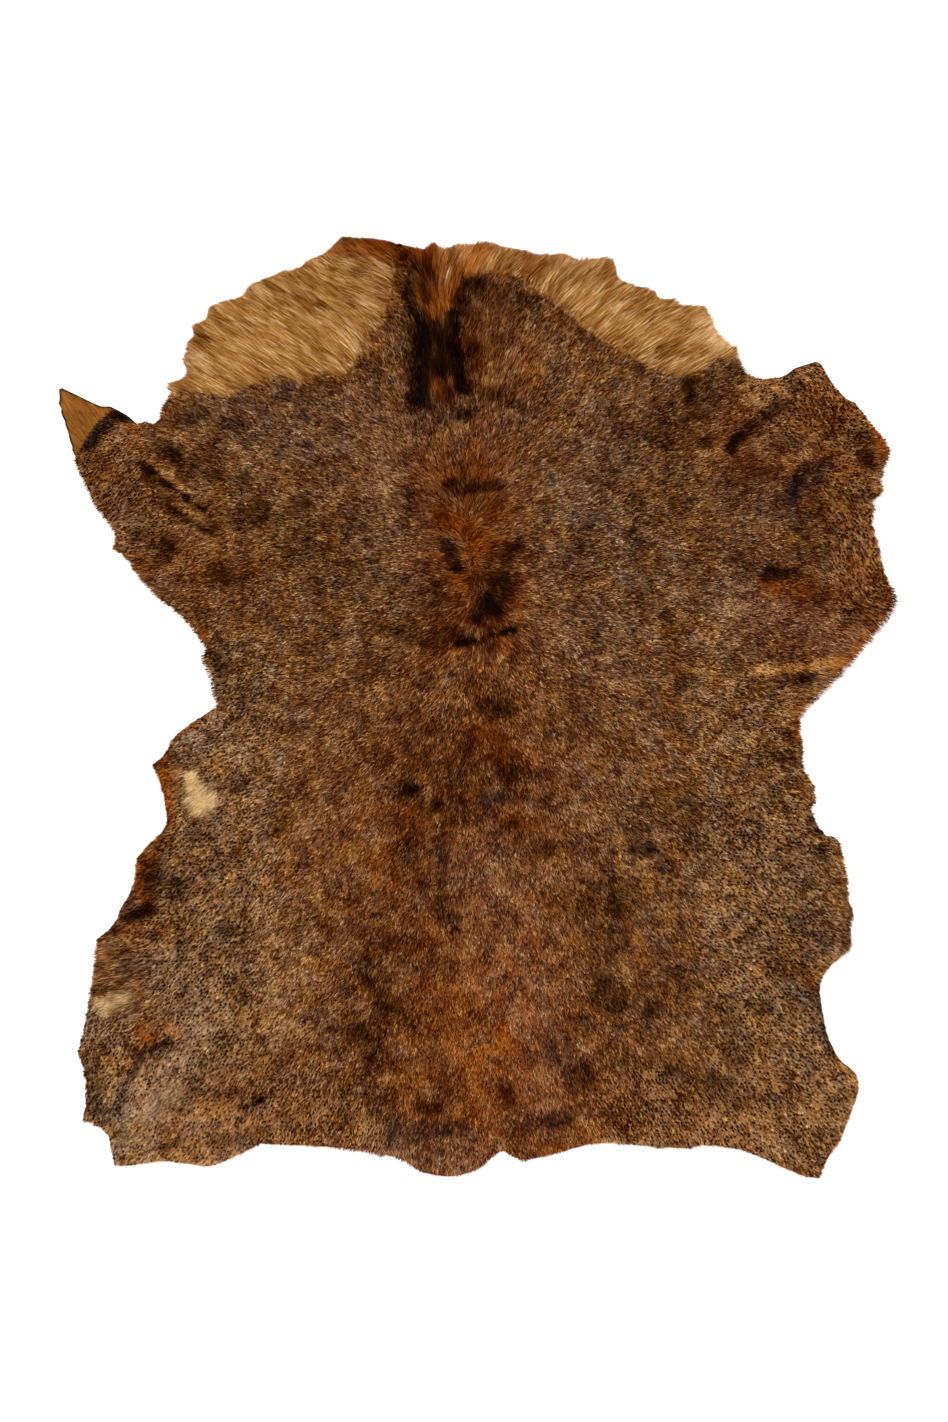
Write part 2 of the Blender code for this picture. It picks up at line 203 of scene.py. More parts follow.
flow = {
    "whorl": ("parting", 466, 524, 480, 600),
    "sideways": 1.5,
    "wave": 12.0,
    "wavePitch": 0.035,
    "scatter": 17.0,
    "whorlScatter": 45.0,
    "whorlReach": 6.0,
    "spots": (
        # name, across, down, heading in degrees (0 right, 90 to the neck), reach, weight
        ("left tan patch", 230, 360, 145, 50, 2.0),
        ("left tan patch, middle", 300, 300, 153, 50, 2.0),
        ("left tan patch, by the mane", 375, 285, 168, 30, 4.0),
        ("left tan patch, fringe", 190, 390, 160, 26, 2.0),
        ("mane, top left", 398, 252, 142, 20, 4.0),
        ("mane, top", 432, 258, 90, 14, 8.0),
        ("mane, parting, left", 415, 285, 128, 14, 5.0),
        ("mane, parting, right", 448, 282, 66, 14, 5.0),
        ("mane, left strand", 420, 345, 100, 20, 5.0),
        ("mane, right strand", 456, 350, 78, 18, 5.0),
        ("mane, foot", 440, 405, 90, 24, 3.0),
        ("neck, fan", 470, 262, 48, 16, 5.0),
        ("neck, fan's right", 520, 262, 35, 22, 4.0),
        ("neck, by the mane", 480, 345, 60, 20, 2.0),
        ("neck, further right", 520, 310, 58, 26, 2.0),
        ("right tan patch", 600, 300, 35, 40, 2.0),
        ("right tan patch, right", 690, 345, 28, 40, 2.0),
        ("right shoulder", 630, 440, 28, 60, 0.8),
        ("left shoulder", 320, 450, 158, 60, 0.8),
        ("left foreleg", 110, 480, 236, 36, 3.0),
        ("left foreleg, root", 190, 540, 215, 40, 1.5),
        ("right foreleg, ridge", 765, 400, 20, 22, 2.0),
        ("right foreleg", 822, 400, 300, 30, 3.5),
        ("right foreleg, middle", 800, 440, 318, 24, 2.5),
        ("right elbow", 850, 505, 306, 26, 3.0),
        ("right elbow, lower", 856, 560, 288, 26, 3.5),
        ("right flank", 810, 640, 350, 40, 1.5),
        ("right flank, rim", 872, 630, 326, 26, 3.0),
        ("left flank", 230, 660, 207, 50, 1.5),
        ("left waist, spot", 200, 798, 228, 20, 3.0),
        ("left side, rim", 115, 970, 184, 30, 3.0),
        ("left loin", 290, 950, 228, 70, 1.2),
        ("right loin", 680, 960, 320, 60, 1.2),
        ("right side", 760, 940, 333, 50, 2.0),
        ("left hind leg", 110, 1075, 250, 36, 2.0),
        ("right hind leg", 800, 1090, 320, 50, 1.5),
        ("right rump", 660, 1110, 306, 50, 1.0),
        ("spine", 480, 1000, 270, 60, 1.0),
    ),
}


def heading(x, y):
    startX, startY = onBoard(*flow["whorl"][1:3])
    endX, endY = onBoard(*flow["whorl"][3:5])
    share = np.clip((y - startY) / (endY - startY), 0.0, 1.0)
    awayX, awayY = (x - startX - share * (endX - startX)) * flow["sideways"], y - startY - share * (endY - startY)
    awayY = awayY + 0.35 * (0.5 - share) * (startY - endY)
    size = np.hypot(awayX, awayY) + 1e-6
    sumX, sumY = awayX / size, awayY / size
    for _, across, down, degrees, reach, weight in flow["spots"]:
        spotX, spotY = onBoard(across, down)
        near = weight * np.exp(-((x - spotX) ** 2 + (y - spotY) ** 2) / (reach * board["unit"]) ** 2)
        sumX = sumX + near * math.cos(math.radians(degrees))
        sumY = sumY + near * math.sin(math.radians(degrees))
    turn = flow["wave"] * (cloud(x, y, flow["wavePitch"], 5) + cloud(x, y, 0.4 * flow["wavePitch"], 6) - 1.0)
    turn = turn * (lengths["back"] * board["unit"] / hairLength(x, y)) ** 0.5
    return np.arctan2(sumY, sumX) + np.radians(turn)


# Markings, and painted light and shade: some dark rows are painted shade in folds, creases and a shadow band, some
# gold, pale and cream rows are painted light on the ridges beside them, and two grey rows are a painted sheen along
# the spine. Each row is a soft line: name, from across and down, to across and down, half width, strength.

marks = {
    "dark": (
        ("mane, left wisp", 416, 260, 410, 276, 4, 0.6),
        ("mane, left arm", 408, 286, 413, 312, 9, 0.85),
        ("mane, left strand", 421, 318, 421, 396, 9, 0.92),
        ("mane, left strand's outer side", 413, 336, 414, 396, 8, 0.6),
        ("mane, left strand's middle", 426, 330, 426, 366, 9, 0.9),
        ("mane, right strand", 453, 314, 453, 352, 9.5, 0.95),
        ("mane, right strand's foot", 455, 352, 463, 388, 8.5, 0.92),
        ("mane, between", 436, 326, 442, 340, 10, 0.9),
        ("mane, between, lower", 440, 342, 442, 370, 11, 0.95),
        ("mane, wisps", 420, 280, 426, 302, 4, 0.5),
        ("mane, foot", 412, 402, 428, 404, 6, 0.6),
        ("mane, lower gap's shade", 436, 378, 446, 394, 12, 0.4),
        ("mane, right foot", 468, 388, 490, 392, 6.5, 0.6),
        ("mane, right arc", 474, 398, 504, 388, 6, 0.45),
        ("neck, dark tuft", 466, 277, 478, 282, 8, 0.5),
        ("neck, dark tuft's foot", 468, 288, 458, 310, 7, 0.4),
        ("neck, dark tuft's right", 480, 282, 524, 302, 12, 0.45),
        ("neck, right ground", 484, 304, 492, 352, 16, 0.3),
        ("mane, red shade", 400, 256, 432, 266, 12, 0.4),
        ("neck, brindle by the mane", 460, 304, 470, 316, 7, 0.4),
        ("right patch, corner", 714, 374, 738, 368, 7, 0.35),
        ("left patch, smudge", 316, 344, 324, 360, 4, 0.5),
        ("left patch, upper smudge", 270, 282, 296, 298, 5, 0.3),
        ("left patch, rim smudge", 194, 336, 216, 350, 7, 0.35),
        ("left patch, middle smudge", 222, 318, 252, 336, 5, 0.3),
        ("left patch, top rim", 336, 240, 398, 244, 4, 0.6),
        ("left patch, upper ground", 300, 280, 370, 262, 26, 0.15),
        ("right patch, streak", 654, 350, 682, 344, 4, 0.35),
        ("right patch, upper streak", 565, 256, 640, 292, 7, 0.12),
        # painted shade: the next two dark rows paint the shade in the crease across the whorl's brow
        ("whorl, brow", 448, 486, 480, 490, 6, 0.75),
        ("whorl, brow's right", 480, 488, 500, 486, 6, 0.35),
        ("whorl, left", 447, 544, 455, 566, 9, 0.8),
        ("whorl, lower right", 502, 584, 490, 606, 12, 0.62),
        ("whorl, right shade", 496, 574, 486, 618, 20, 0.4),
        ("whorl, right wisp", 498, 549, 516, 548, 6, 0.4),
        ("whorl, lower", 484, 604, 476, 616, 8, 0.6),
        # painted shade: the next two dark rows paint the shade in the creases below the whorl
        ("whorl, right crease", 492, 636, 514, 630, 4.5, 1.0),
        ("whorl, left crease", 454, 644, 488, 641, 2.6, 1.0),
        ("whorl, left shade", 420, 580, 440, 600, 14, 0.35),
        ("back, smudge", 482, 713, 500, 710, 8, 0.5),
        ("back, under the rust", 474, 734, 502, 752, 14, 0.2),
        ("back, shade", 470, 690, 500, 700, 16, 0.1),
        ("loin, left blob", 402, 792, 414, 788, 9, 0.6),
        ("loin, left lower blob", 426, 802, 434, 806, 7, 0.6),
        ("loin, band", 440, 803, 476, 803, 5, 0.2),
        ("loin, middle blob", 486, 800, 502, 798, 7, 0.5),
        ("loin, right of the middle", 506, 776, 520, 772, 10, 0.3),
        ("loin, left of the middle", 452, 776, 460, 782, 8, 0.45),
        ("loin, right streak", 528, 800, 545, 800, 7, 0.35),
        ("loin, upright", 499, 808, 498, 850, 5, 0.2),
        ("loin, under the right gold", 514, 826, 530, 840, 8, 0.35),
        ("loin, right blob", 540, 850, 556, 848, 9, 0.35),
        ("loin, left streak", 440, 850, 441, 895, 6, 0.5),
        ("loin, left dark streak", 442, 908, 452, 928, 8, 0.7),
        ("loin, left mottle", 405, 848, 418, 895, 10, 0.35),
        ("loin, far left mottle", 364, 935, 384, 950, 14, 0.28),
        ("loin, left low mottle", 400, 930, 412, 930, 9, 0.2),
        ("loin, right mottle", 592, 894, 612, 902, 11, 0.35),
        ("loin, right dark mottle", 612, 914, 620, 942, 9, 0.5),
        ("loin, right low mottle", 596, 974, 612, 986, 13, 0.4),
        ("loin, right dark ground", 600, 900, 640, 960, 46, 0.12),
        ("loin, left dark ground", 410, 850, 430, 960, 40, 0.12),
        ("back, dark ground", 420, 760, 520, 800, 40, 0.2),
        ("shoulder, dark ground", 640, 420, 730, 480, 36, 0.2),
        ("left foreleg, dark ground", 100, 450, 130, 500, 30, 0.15),
        ("loin, right lower mottle", 600, 995, 615, 1005, 11, 0.45),
        ("loin, right upper mottle", 636, 848, 650, 850, 8, 0.5),
        ("rump, left mottle", 432, 1056, 452, 1092, 10, 0.25),
        ("rump, left low mottle", 420, 1104, 440, 1106, 9, 0.4),
        ("rump, centre", 502, 1088, 508, 1100, 8, 0.5),
        ("rump, right", 546, 1120, 566, 1120, 8, 0.5),
        ("rump, small mark", 245, 1106, 262, 1100, 4, 0.75),
        ("rump, small mark's tail", 262, 1099, 272, 1093, 2.5, 0.5),
        # painted shade: the next four dark rows paint the shade in the left foreleg's two furrows
        ("left foreleg, furrow", 140, 464, 188, 500, 2.6, 0.78),
        ("left foreleg, furrow's shade", 132, 462, 180, 506, 8, 0.3),
        ("left foreleg, furrow's end", 188, 500, 202, 510, 2, 0.6),
        ("left foreleg, second furrow", 168, 507, 224, 541, 3, 0.6),
        ("left foreleg, smudge", 166, 448, 186, 466, 9, 0.5),
        # painted shadow: this dark row is the blue-black shadow band where the coat begins beside the bare tip
        ("left foreleg, band by the tip", 86, 443, 108, 419, 8.5, 1.0),
        ("left foreleg, notch", 110, 416, 130, 416, 7, 0.75),
        ("left foreleg, low smudge", 138, 534, 166, 546, 11, 0.45),
        ("left shoulder, smudge", 216, 576, 234, 584, 11, 0.4),
        ("left shoulder, middle", 300, 560, 330, 570, 20, 0.25),
        # painted shade: the next two dark rows paint the shade in the right foreleg's trough
        ("right foreleg, deep of the trough", 733, 448, 742, 438, 7, 0.75),
        ("right foreleg, trough", 744, 432, 780, 404, 5, 0.45),
        ("right foreleg, upper spot", 792, 374, 798, 388, 7, 0.55),
        # painted shade: the next three dark rows paint the shade in the trough that arcs round the right elbow
        ("right elbow, arc", 826, 464, 800, 478, 8, 0.6),
        ("right elbow, deep of the arc", 798, 478, 794, 492, 7, 0.85),
        ("right elbow, lower arc", 792, 500, 800, 560, 11, 0.3),
        ("right foreleg, by the tip", 864, 434, 868, 462, 7, 0.5),
        ("right foreleg, lower corner", 868, 494, 876, 500, 6, 0.5),
        # painted shade: this dark row is the shade in a small dent of the right flank
        ("right flank, dent", 768, 574, 794, 574, 7, 0.7),
        ("right flank, outer shade", 820, 590, 850, 612, 12, 0.15),
        # painted shade: the next two dark rows paint the shade beside the right flank's ridge
        ("right flank, above the ridge", 772, 657, 840, 652, 3.5, 0.28),
        ("right flank, under the ridge", 776, 681, 816, 677, 4, 0.5),
        ("right flank, corner", 752, 684, 762, 690, 8, 0.2),
        ("right waist, notch", 786, 734, 792, 736, 4, 0.4),
        ("right waist, mottle", 768, 742, 780, 762, 7, 0.2),
        ("right waist, low mottle", 766, 790, 778, 800, 7, 0.2),
        ("right side, upper", 792, 912, 810, 930, 12, 0.15),
        ("right side, middle", 752, 942, 770, 956, 11, 0.2),
        ("right side, lower", 778, 970, 800, 996, 13, 0.3),
        ("right side, rim", 820, 1000, 834, 1050, 7, 0.5),
        ("right side, low spot", 750, 1004, 766, 1008, 6, 0.45),
        ("left waist, upper spot", 190, 826, 196, 828, 6, 0.25),
        ("left waist, lower spot", 212, 822, 222, 820, 7, 0.15),
        ("left waist, below", 150, 862, 166, 848, 9, 0.35),
        ("left side, blob", 130, 916, 148, 910, 8, 0.85),
        ("left side, small blob", 114, 952, 128, 952, 7, 0.4),
        ("left side, spot", 228, 930, 238, 938, 8, 0.5),
        ("left side, lower spot", 234, 986, 242, 998, 8, 0.5),
        ("left flank, notch", 214, 650, 224, 672, 10, 0.45),
        # painted shade: the next four dark rows paint the shade in the left hind leg's folds
        ("left hind leg, fold's head", 168, 1040, 150, 1052, 4, 0.85),
        ("left hind leg, fold", 140, 1058, 114, 1112, 4, 0.55),
        ("left hind leg, fold's foot", 110, 1112, 100, 1122, 5, 0.4),
        ("left hind leg, small fold", 158, 1148, 178, 1142, 4, 0.45),
        ("mane, foot's shade", 446, 414, 466, 412, 9, 0.5),
        ("loin, far right mottle", 690, 806, 704, 862, 13, 0.32),
        ("rump, left outer mottle", 352, 1028, 372, 1050, 14, 0.42),
        ("rump, left outer low mottle", 372, 1092, 396, 1134, 12, 0.32),
        ("rump, right outer mottle", 610, 1062, 714, 1074, 12, 0.3),
        ("left side, by the rim", 152, 878, 176, 884, 11, 0.5),
        ("left side, rim", 106, 914, 114, 932, 7, 0.4),
        ("loin, middle ground", 414, 838, 480, 878, 13, 0.22),
        ("back, right shade", 506, 718, 600, 732, 14, 0.2),
        # painted shade: this dark row darkens the ground along the whorl's left crease
        ("whorl, under the crease", 372, 632, 484, 640, 11, 0.36),
        ("whorl, left ground", 420, 604, 436, 612, 12, 0.3),
        ("back, right mottle", 632, 536, 646, 566, 12, 0.35),
        ("back, right upper mottle", 584, 522, 640, 500, 10, 0.28),
        ("right elbow, inner shade", 820, 490, 822, 570, 11, 0.35),
        # painted shade: a dark row inside the right foreleg's trough
        ("right foreleg, under the trough", 754, 440, 792, 442, 9, 0.35),
        ("right shoulder, spot", 690, 384, 698, 414, 9, 0.5),
        ("left foreleg, root", 204, 526, 262, 516, 12, 0.3),
        ("left shoulder, under the patch", 190, 416, 262, 432, 13, 0.28),
        ("left hind leg, rim", 88, 1066, 96, 1108, 10, 0.45),
        ("right side, rim spot", 820, 852, 826, 868, 6, 0.4),
        ("back, right of the whorl", 530, 540, 540, 570, 9, 0.3),
        ("mane, gap's wisp", 430, 290, 436, 306, 6, 0.35),
        ("neck, right of the mane", 472, 332, 478, 382, 10, 0.35),
        ("right patch, middle", 644, 308, 684, 320, 9, 0.2),
        ("right shoulder, low spot", 652, 476, 680, 474, 9, 0.28),
        ("left shoulder, upright", 302, 502, 306, 560, 9, 0.3),
        ("right flank, inner spot", 680, 684, 696, 680, 10, 0.35),
        ("right flank, by the ridge", 736, 664, 748, 668, 7, 0.35),
        # painted shade: this dark row darkens the middle of the whorl's creases
        ("whorl, crease's middle", 470, 636, 490, 650, 9, 0.3),
        ("loin, right upper spot", 612, 838, 640, 832, 9, 0.3),
        ("loin, inner spot", 508, 862, 520, 884, 8, 0.25),
        ("loin, low left mottle", 372, 974, 390, 1008, 14, 0.45),
        ("loin, low inner mottle", 436, 955, 450, 972, 9, 0.32),
        ("rump, by the spine", 556, 1050, 580, 1076, 14, 0.5),
        ("left rump, foot", 216, 1142, 262, 1138, 9, 0.35),
        ("rump, right outer low mottle", 700, 1070, 722, 1082, 9, 0.25),
        ("left side, upper arc", 114, 902, 188, 890, 9, 0.28),
        ("left loin, upper streak", 302, 798, 356, 808, 10, 0.1),
        ("right flank, upper spot", 736, 560, 748, 576, 9, 0.35),
        ("right rump, upright", 728, 1000, 732, 1070, 9, 0.35),
        ("rump, foot", 396, 1138, 440, 1132, 9, 0.5),
        ("left loin, inner spot", 322, 916, 336, 940, 9, 0.3),
        ("left loin, low spot", 316, 1012, 328, 1030, 9, 0.3),
        ("loin, right foot spot", 630, 996, 648, 1010, 9, 0.35),
        ("right waist, rim spot", 812, 812, 818, 830, 6, 0.4),
        ("left side, low spot", 120, 990, 134, 1008, 7, 0.3),
        ("left patch, top ground", 330, 250, 392, 252, 8, 0.2),
        ("left flank, low spot", 210, 690, 270, 694, 9, 0.3),
        ("back, left spot", 408, 676, 432, 682, 9, 0.3),
        # painted shade: a dark row along the upper edge of the left hind leg's fold
        ("left hind leg, above the fold", 136, 1054, 176, 1050, 7, 0.3),
        ("rump, foot's right", 440, 1134, 470, 1132, 8, 0.3),
        ("rump, foot's spot", 512, 1130, 528, 1128, 8, 0.3),
        ("rump, left spot", 346, 1086, 362, 1092, 8, 0.3),
        ("right rump, low shade", 690, 1078, 740, 1100, 12, 0.3),
        ("whorl, above the brow", 400, 502, 500, 504, 9, 0.22),
        ("right elbow, corner", 844, 500, 862, 510, 7, 0.3),
        ("right shoulder, upright", 696, 396, 704, 440, 9, 0.35),
        ("mane, right of the foot", 508, 400, 524, 410, 7, 0.35),
        ("right flank, red's shade", 764, 582, 776, 590, 8, 0.25),
        ("right foreleg, root", 712, 396, 730, 404, 9, 0.35),
        ("mane, parting", 428, 264, 440, 298, 7, 0.28),
        ("left hind leg, foot", 112, 1128, 124, 1136, 7, 0.3),
    ),
    "rust": (
        ("mane, top", 376, 246, 430, 258, 12, 1.0),
        ("mane, spikes", 430, 244, 436, 266, 9, 1.0),
        ("mane, glow", 424, 280, 448, 298, 14, 0.85),
        ("mane, parting's left", 418, 290, 432, 314, 8, 0.85),
        ("mane, upper gap", 432, 296, 442, 312, 8, 0.85),
        ("mane, lower gap", 436, 380, 446, 394, 10, 0.95),
        ("mane, between", 438, 344, 441, 376, 7, 0.4),
        ("neck, right of the mane", 474, 330, 478, 384, 10, 0.65),
        ("neck, fan", 444, 262, 474, 262, 12, 0.82),
        ("neck, fan's root", 448, 300, 462, 274, 11, 0.8),
        ("neck, fan's right", 476, 257, 540, 262, 13, 0.7),
        ("neck, fan's far right", 540, 264, 600, 280, 10, 0.25),
        ("neck, golden ground", 480, 300, 500, 360, 34, 0.3),
        ("left patch, by the mane", 396, 256, 402, 284, 8, 0.7),
        ("left patch, orange", 368, 268, 388, 294, 18, 0.45),
        ("left patch, top rim", 330, 242, 380, 244, 7, 0.5),
        ("whorl, upper glow", 440, 516, 462, 526, 11, 0.8),
        ("whorl, glow", 462, 522, 478, 546, 13, 1.0),
        ("whorl, lower glow", 474, 552, 480, 584, 8, 0.75),
        ("whorl, lower left glow", 458, 590, 462, 608, 10, 0.75),
        ("whorl, right streak", 492, 548, 520, 548, 7, 0.45),
        ("whorl, under the crease", 496, 644, 516, 640, 5, 0.35),
        ("back, patch", 480, 734, 506, 752, 14, 0.75),
        ("back, middle", 480, 660, 490, 700, 14, 0.1),
        ("loin, streak", 506, 984, 503, 1000, 6, 0.6),
        ("loin, streak's middle", 503, 1024, 506, 1046, 7, 0.9),
        ("loin, streak's foot", 506, 1050, 508, 1070, 6, 0.45),
        ("loin, left orange", 385, 868, 396, 878, 13, 0.5),
        ("loin, left inner orange", 414, 812, 420, 830, 13, 0.4),
        ("loin, left middle orange", 418, 872, 432, 874, 10, 0.5),
        ("loin, middle", 458, 796, 478, 794, 7, 0.4),
        ("loin, right orange", 508, 812, 528, 822, 12, 0.5),
        ("loin, right middle orange", 622, 918, 640, 962, 10, 0.4),
        ("rump, red brown", 450, 1000, 480, 1080, 30, 0.25),
        ("loin, chestnut", 440, 860, 490, 1040, 110, 0.4),
        ("loin, inner chestnut", 480, 960, 505, 1060, 50, 0.18),
        ("rump, chestnut", 200, 1116, 720, 1110, 50, 0.24),
        ("neck, chestnut", 420, 440, 480, 400, 60, 0.12),
        ("whorl, chestnut", 470, 480, 480, 620, 50, 0.55),
        ("back, chestnut", 420, 700, 540, 740, 60, 0.2),
        ("right foreleg, chestnut", 740, 440, 860, 430, 46, 0.3),
        ("right foreleg, tip's chestnut", 800, 376, 830, 400, 26, 0.3),
        ("right elbow, chestnut", 840, 490, 860, 590, 30, 0.3),
        ("left foreleg, chestnut", 110, 470, 220, 560, 36, 0.3),
        ("right flank, chestnut", 790, 600, 860, 620, 40, 0.3),
        ("rump, tail", 508, 1138, 524, 1150, 9, 0.35),
        ("rump, bottom rim", 530, 1150, 600, 1143, 4, 0.6),
        ("left foreleg, notch", 127, 426, 137, 430, 4, 0.6),
        ("left foreleg, low rim", 134, 564, 148, 578, 5, 0.35),
        ("left shoulder, notch", 164, 398, 162, 420, 4, 0.5),
        ("left foreleg, rim", 90, 446, 100, 500, 6, 0.25),
        ("right foreleg, tip", 876, 442, 886, 454, 7, 0.8),
        ("right foreleg, outer", 832, 446, 858, 462, 11, 0.35),
        ("right elbow, outer", 824, 506, 846, 516, 11, 0.4),
        ("right flank, red", 762, 580, 776, 588, 8, 1.0),
        ("right flank, red's tail", 778, 590, 804, 592, 9, 0.6),
        ("right flank, rim", 890, 580, 890, 612, 6, 0.6),
        ("right flank, lower rim", 882, 624, 854, 656, 5, 0.5),
        ("right flank, ridge", 790, 669, 846, 661, 5, 0.8),
        ("right flank, ridge's end", 838, 664, 848, 664, 8, 0.6),
        ("right waist, rim", 799, 712, 800, 738, 5, 0.8),
        ("left waist, upper rim", 214, 706, 176, 736, 4, 0.8),
        ("left waist, lobe", 160, 764, 164, 774, 8, 0.9),
        ("left waist, rim", 164, 778, 168, 824, 7, 0.95),
        ("left waist, lower rim", 160, 840, 146, 858, 8, 0.75),
        ("left side, rim", 140, 872, 148, 900, 12, 0.8),
        ("left side, under the blob", 126, 928, 160, 936, 10, 0.5),
        ("left flank, notch", 203, 634, 208, 644, 6, 0.8),
        ("left hind leg", 142, 1029, 156, 1040, 8, 0.65),
        ("left hind leg, tail", 160, 1028, 174, 1032, 5, 0.5),
        ("left hind leg, beside the fold", 138, 1052, 130, 1066, 6, 0.45),
        ("right side, notch", 812, 978, 815, 990, 6, 0.8),
        ("left patch, top ground", 330, 251, 392, 252, 9, 0.9),
        ("left patch, low orange", 350, 312, 380, 338, 14, 0.35),
        ("right patch, foot", 640, 353, 690, 366, 9, 0.35),
    ),
    "gold": (
        ("neck, by the mane", 480, 322, 486, 380, 8, 0.4),
        # painted highlight: the next two gold rows paint the lit ridges beside the left foreleg's furrows, in a golden
        # hair colour
        ("left foreleg, ridge", 150, 466, 188, 492, 5, 0.8),
        ("left foreleg, second ridge", 164, 490, 200, 524, 7, 0.5),
        ("left foreleg, corner", 166, 434, 180, 436, 6, 0.5),
        ("left foreleg, low", 140, 518, 180, 522, 9, 0.4),
        ("left foreleg, lower", 200, 540, 232, 556, 11, 0.35),
        # painted highlight: this gold row is the lit ridge of the right foreleg, in a golden hair colour
        ("right foreleg, ridge", 746, 403, 764, 399, 7, 1.0),
        ("right foreleg, upper", 780, 392, 800, 376, 9, 0.5),
        ("right foreleg, below the trough", 704, 452, 758, 446, 7, 0.6),
        ("right elbow", 834, 500, 856, 516, 13, 0.4),
        ("right foreleg, tip", 868, 446, 878, 448, 6, 0.6),
        # painted highlight: the next two gold rows are the right flank's lit ridge, in its golden hair colour
        ("right flank, ridge", 754, 671, 800, 667, 5.5, 1.0),
        ("right flank, ridge's end", 800, 668, 846, 662, 5.5, 1.0),
        ("right waist", 796, 706, 806, 704, 7, 0.6),
        ("left hind leg, net", 112, 1062, 138, 1076, 12, 0.5),
        ("left waist", 220, 850, 236, 846, 12, 0.1),
        ("right rump", 736, 1012, 748, 1018, 11, 0.5),
        ("right rump, low", 776, 1116, 840, 1120, 10, 0.3),
        ("right patch, corner", 736, 358, 744, 368, 7, 0.4),
        ("left loin, ground", 210, 1040, 300, 1010, 30, 0.25),
        ("right hind leg, ground", 720, 1080, 790, 1130, 34, 0.22),
        ("loin, left inner gold", 410, 868, 440, 880, 14, 0.4),
        ("rump, left foot", 370, 1126, 400, 1136, 12, 0.35),
        ("left back, spot", 380, 476, 392, 500, 10, 0.35),
    ),
    "pale": (
        ("left hind leg", 140, 1146, 152, 1124, 20, 0.95),
        ("left hind leg, ground", 120, 1110, 210, 1140, 44, 0.6),
        ("spine, ground", 480, 900, 520, 1060, 60, 0.18),
        # painted light: this pale row lightens the lit side beside the left hind leg's fold
        ("left hind leg, beside the fold", 150, 1110, 176, 1060, 18, 0.5),
        ("left hind leg, upper", 180, 1040, 236, 1010, 16, 0.6),
        ("left side, pale spot", 100, 1002, 122, 998, 7, 0.8),
        ("left side, pale spot's foot", 100, 1006, 104, 1012, 5, 0.8),
        ("left loin", 210, 880, 190, 990, 40, 0.35),
        ("left waist", 200, 720, 196, 752, 20, 0.3),
        ("left flank", 240, 700, 230, 800, 34, 0.25),
        ("right flank, inner", 724, 566, 724, 640, 14, 0.35),
        # painted highlight: this pale row lightens the right flank's lit ridge
        ("right flank, ridge", 756, 670, 806, 666, 3, 0.3),
        ("left patch, pale lock", 198, 358, 212, 368, 7, 0.8),
        ("right patch, right", 704, 328, 722, 346, 13, 0.8),
        ("right loin", 750, 870, 760, 1000, 42, 0.26),
        ("right elbow, fleck", 852, 531, 858, 538, 1.5, 1.0),
        ("right elbow, second fleck", 858, 536, 865, 546, 1.5, 1.0),
        ("right hind leg, ground", 740, 1090, 850, 1110, 40, 0.3),
        ("left rump", 200, 1130, 290, 1120, 22, 0.3),
        ("left loin, spot", 276, 932, 300, 940, 18, 0.55),
        ("left loin, upper", 300, 846, 356, 862, 24, 0.3),
        ("left loin, low", 240, 1012, 292, 1016, 14, 0.55),
        ("left waist, low", 194, 822, 240, 800, 12, 0.3),
        ("right loin, spot", 650, 876, 660, 900, 12, 0.35),
        ("right loin, low", 640, 940, 660, 960, 14, 0.25),
        ("back, by the loin", 500, 812, 560, 890, 13, 0.25),
        ("right flank, low", 708, 676, 752, 706, 13, 0.4),
        ("rump, middle", 476, 1046, 492, 1068, 14, 0.25),
        ("back, middle", 540, 430, 548, 500, 12, 0.22),
        ("left patch, top", 336, 262, 366, 276, 14, 0.05),
        ("neck, by the right patch", 540, 368, 550, 386, 9, 0.3),
        ("right waist, spot", 736, 794, 762, 802, 11, 0.3),
        ("left hind leg, middle", 148, 1096, 168, 1130, 15, 0.9),
        ("rump, right spot", 656, 1080, 664, 1106, 10, 0.45),
        ("right hind leg, foot", 720, 1122, 780, 1140, 17, 0.38),
        ("left flank, low", 224, 772, 244, 740, 13, 0.28),
        ("left back, spot", 384, 464, 396, 486, 9, 0.28),
        ("neck, fan", 466, 256, 490, 268, 12, 0.6),
        ("left patch, orange", 378, 276, 390, 292, 12, 0.4),
        ("loin, spine", 516, 972, 540, 980, 10, 0.3),
        ("loin, right of the band", 528, 784, 550, 800, 10, 0.3),
        ("right side, spot", 726, 900, 750, 922, 13, 0.35),
        ("left loin, middle", 268, 884, 290, 900, 12, 0.3),
        ("neck, fan's right", 568, 256, 590, 268, 10, 0.35),
        ("left patch, low", 346, 340, 372, 334, 12, 0.3),
        ("right patch, foot", 644, 353, 680, 362, 9, 0.3),
        ("left foreleg, rim", 92, 470, 100, 500, 8, 0.3),
        ("right back, low", 690, 700, 720, 740, 12, 0.22),
        # painted highlight: this pale row lightens the lit ridge of the right foreleg
        ("right foreleg, ridge", 730, 404, 780, 400, 8, 0.35),
        ("right foreleg, outer", 836, 446, 852, 456, 9, 0.3),
        ("right flank, rim", 860, 580, 872, 606, 8, 0.3),
        ("left patch, middle", 240, 346, 262, 356, 10, 0.3),
    ),
    "grey": (
        # painted sheen: the next two grey rows paint the purple-grey sheen along the spine and the rump beside it
        ("spine", 480, 870, 520, 1000, 34, 0.6),
        ("rump, right of the spine", 528, 1010, 545, 1100, 22, 0.75),
        ("rump, foot", 390, 1145, 480, 1160, 26, 0.6),
        ("left shoulder", 250, 420, 330, 430, 34, 0.45),
        ("right shoulder", 620, 430, 600, 500, 30, 0.35),
        ("right back", 570, 520, 600, 640, 50, 0.35),
        ("left back", 400, 430, 390, 560, 40, 0.3),
        ("right flank", 744, 604, 832, 628, 24, 0.6),
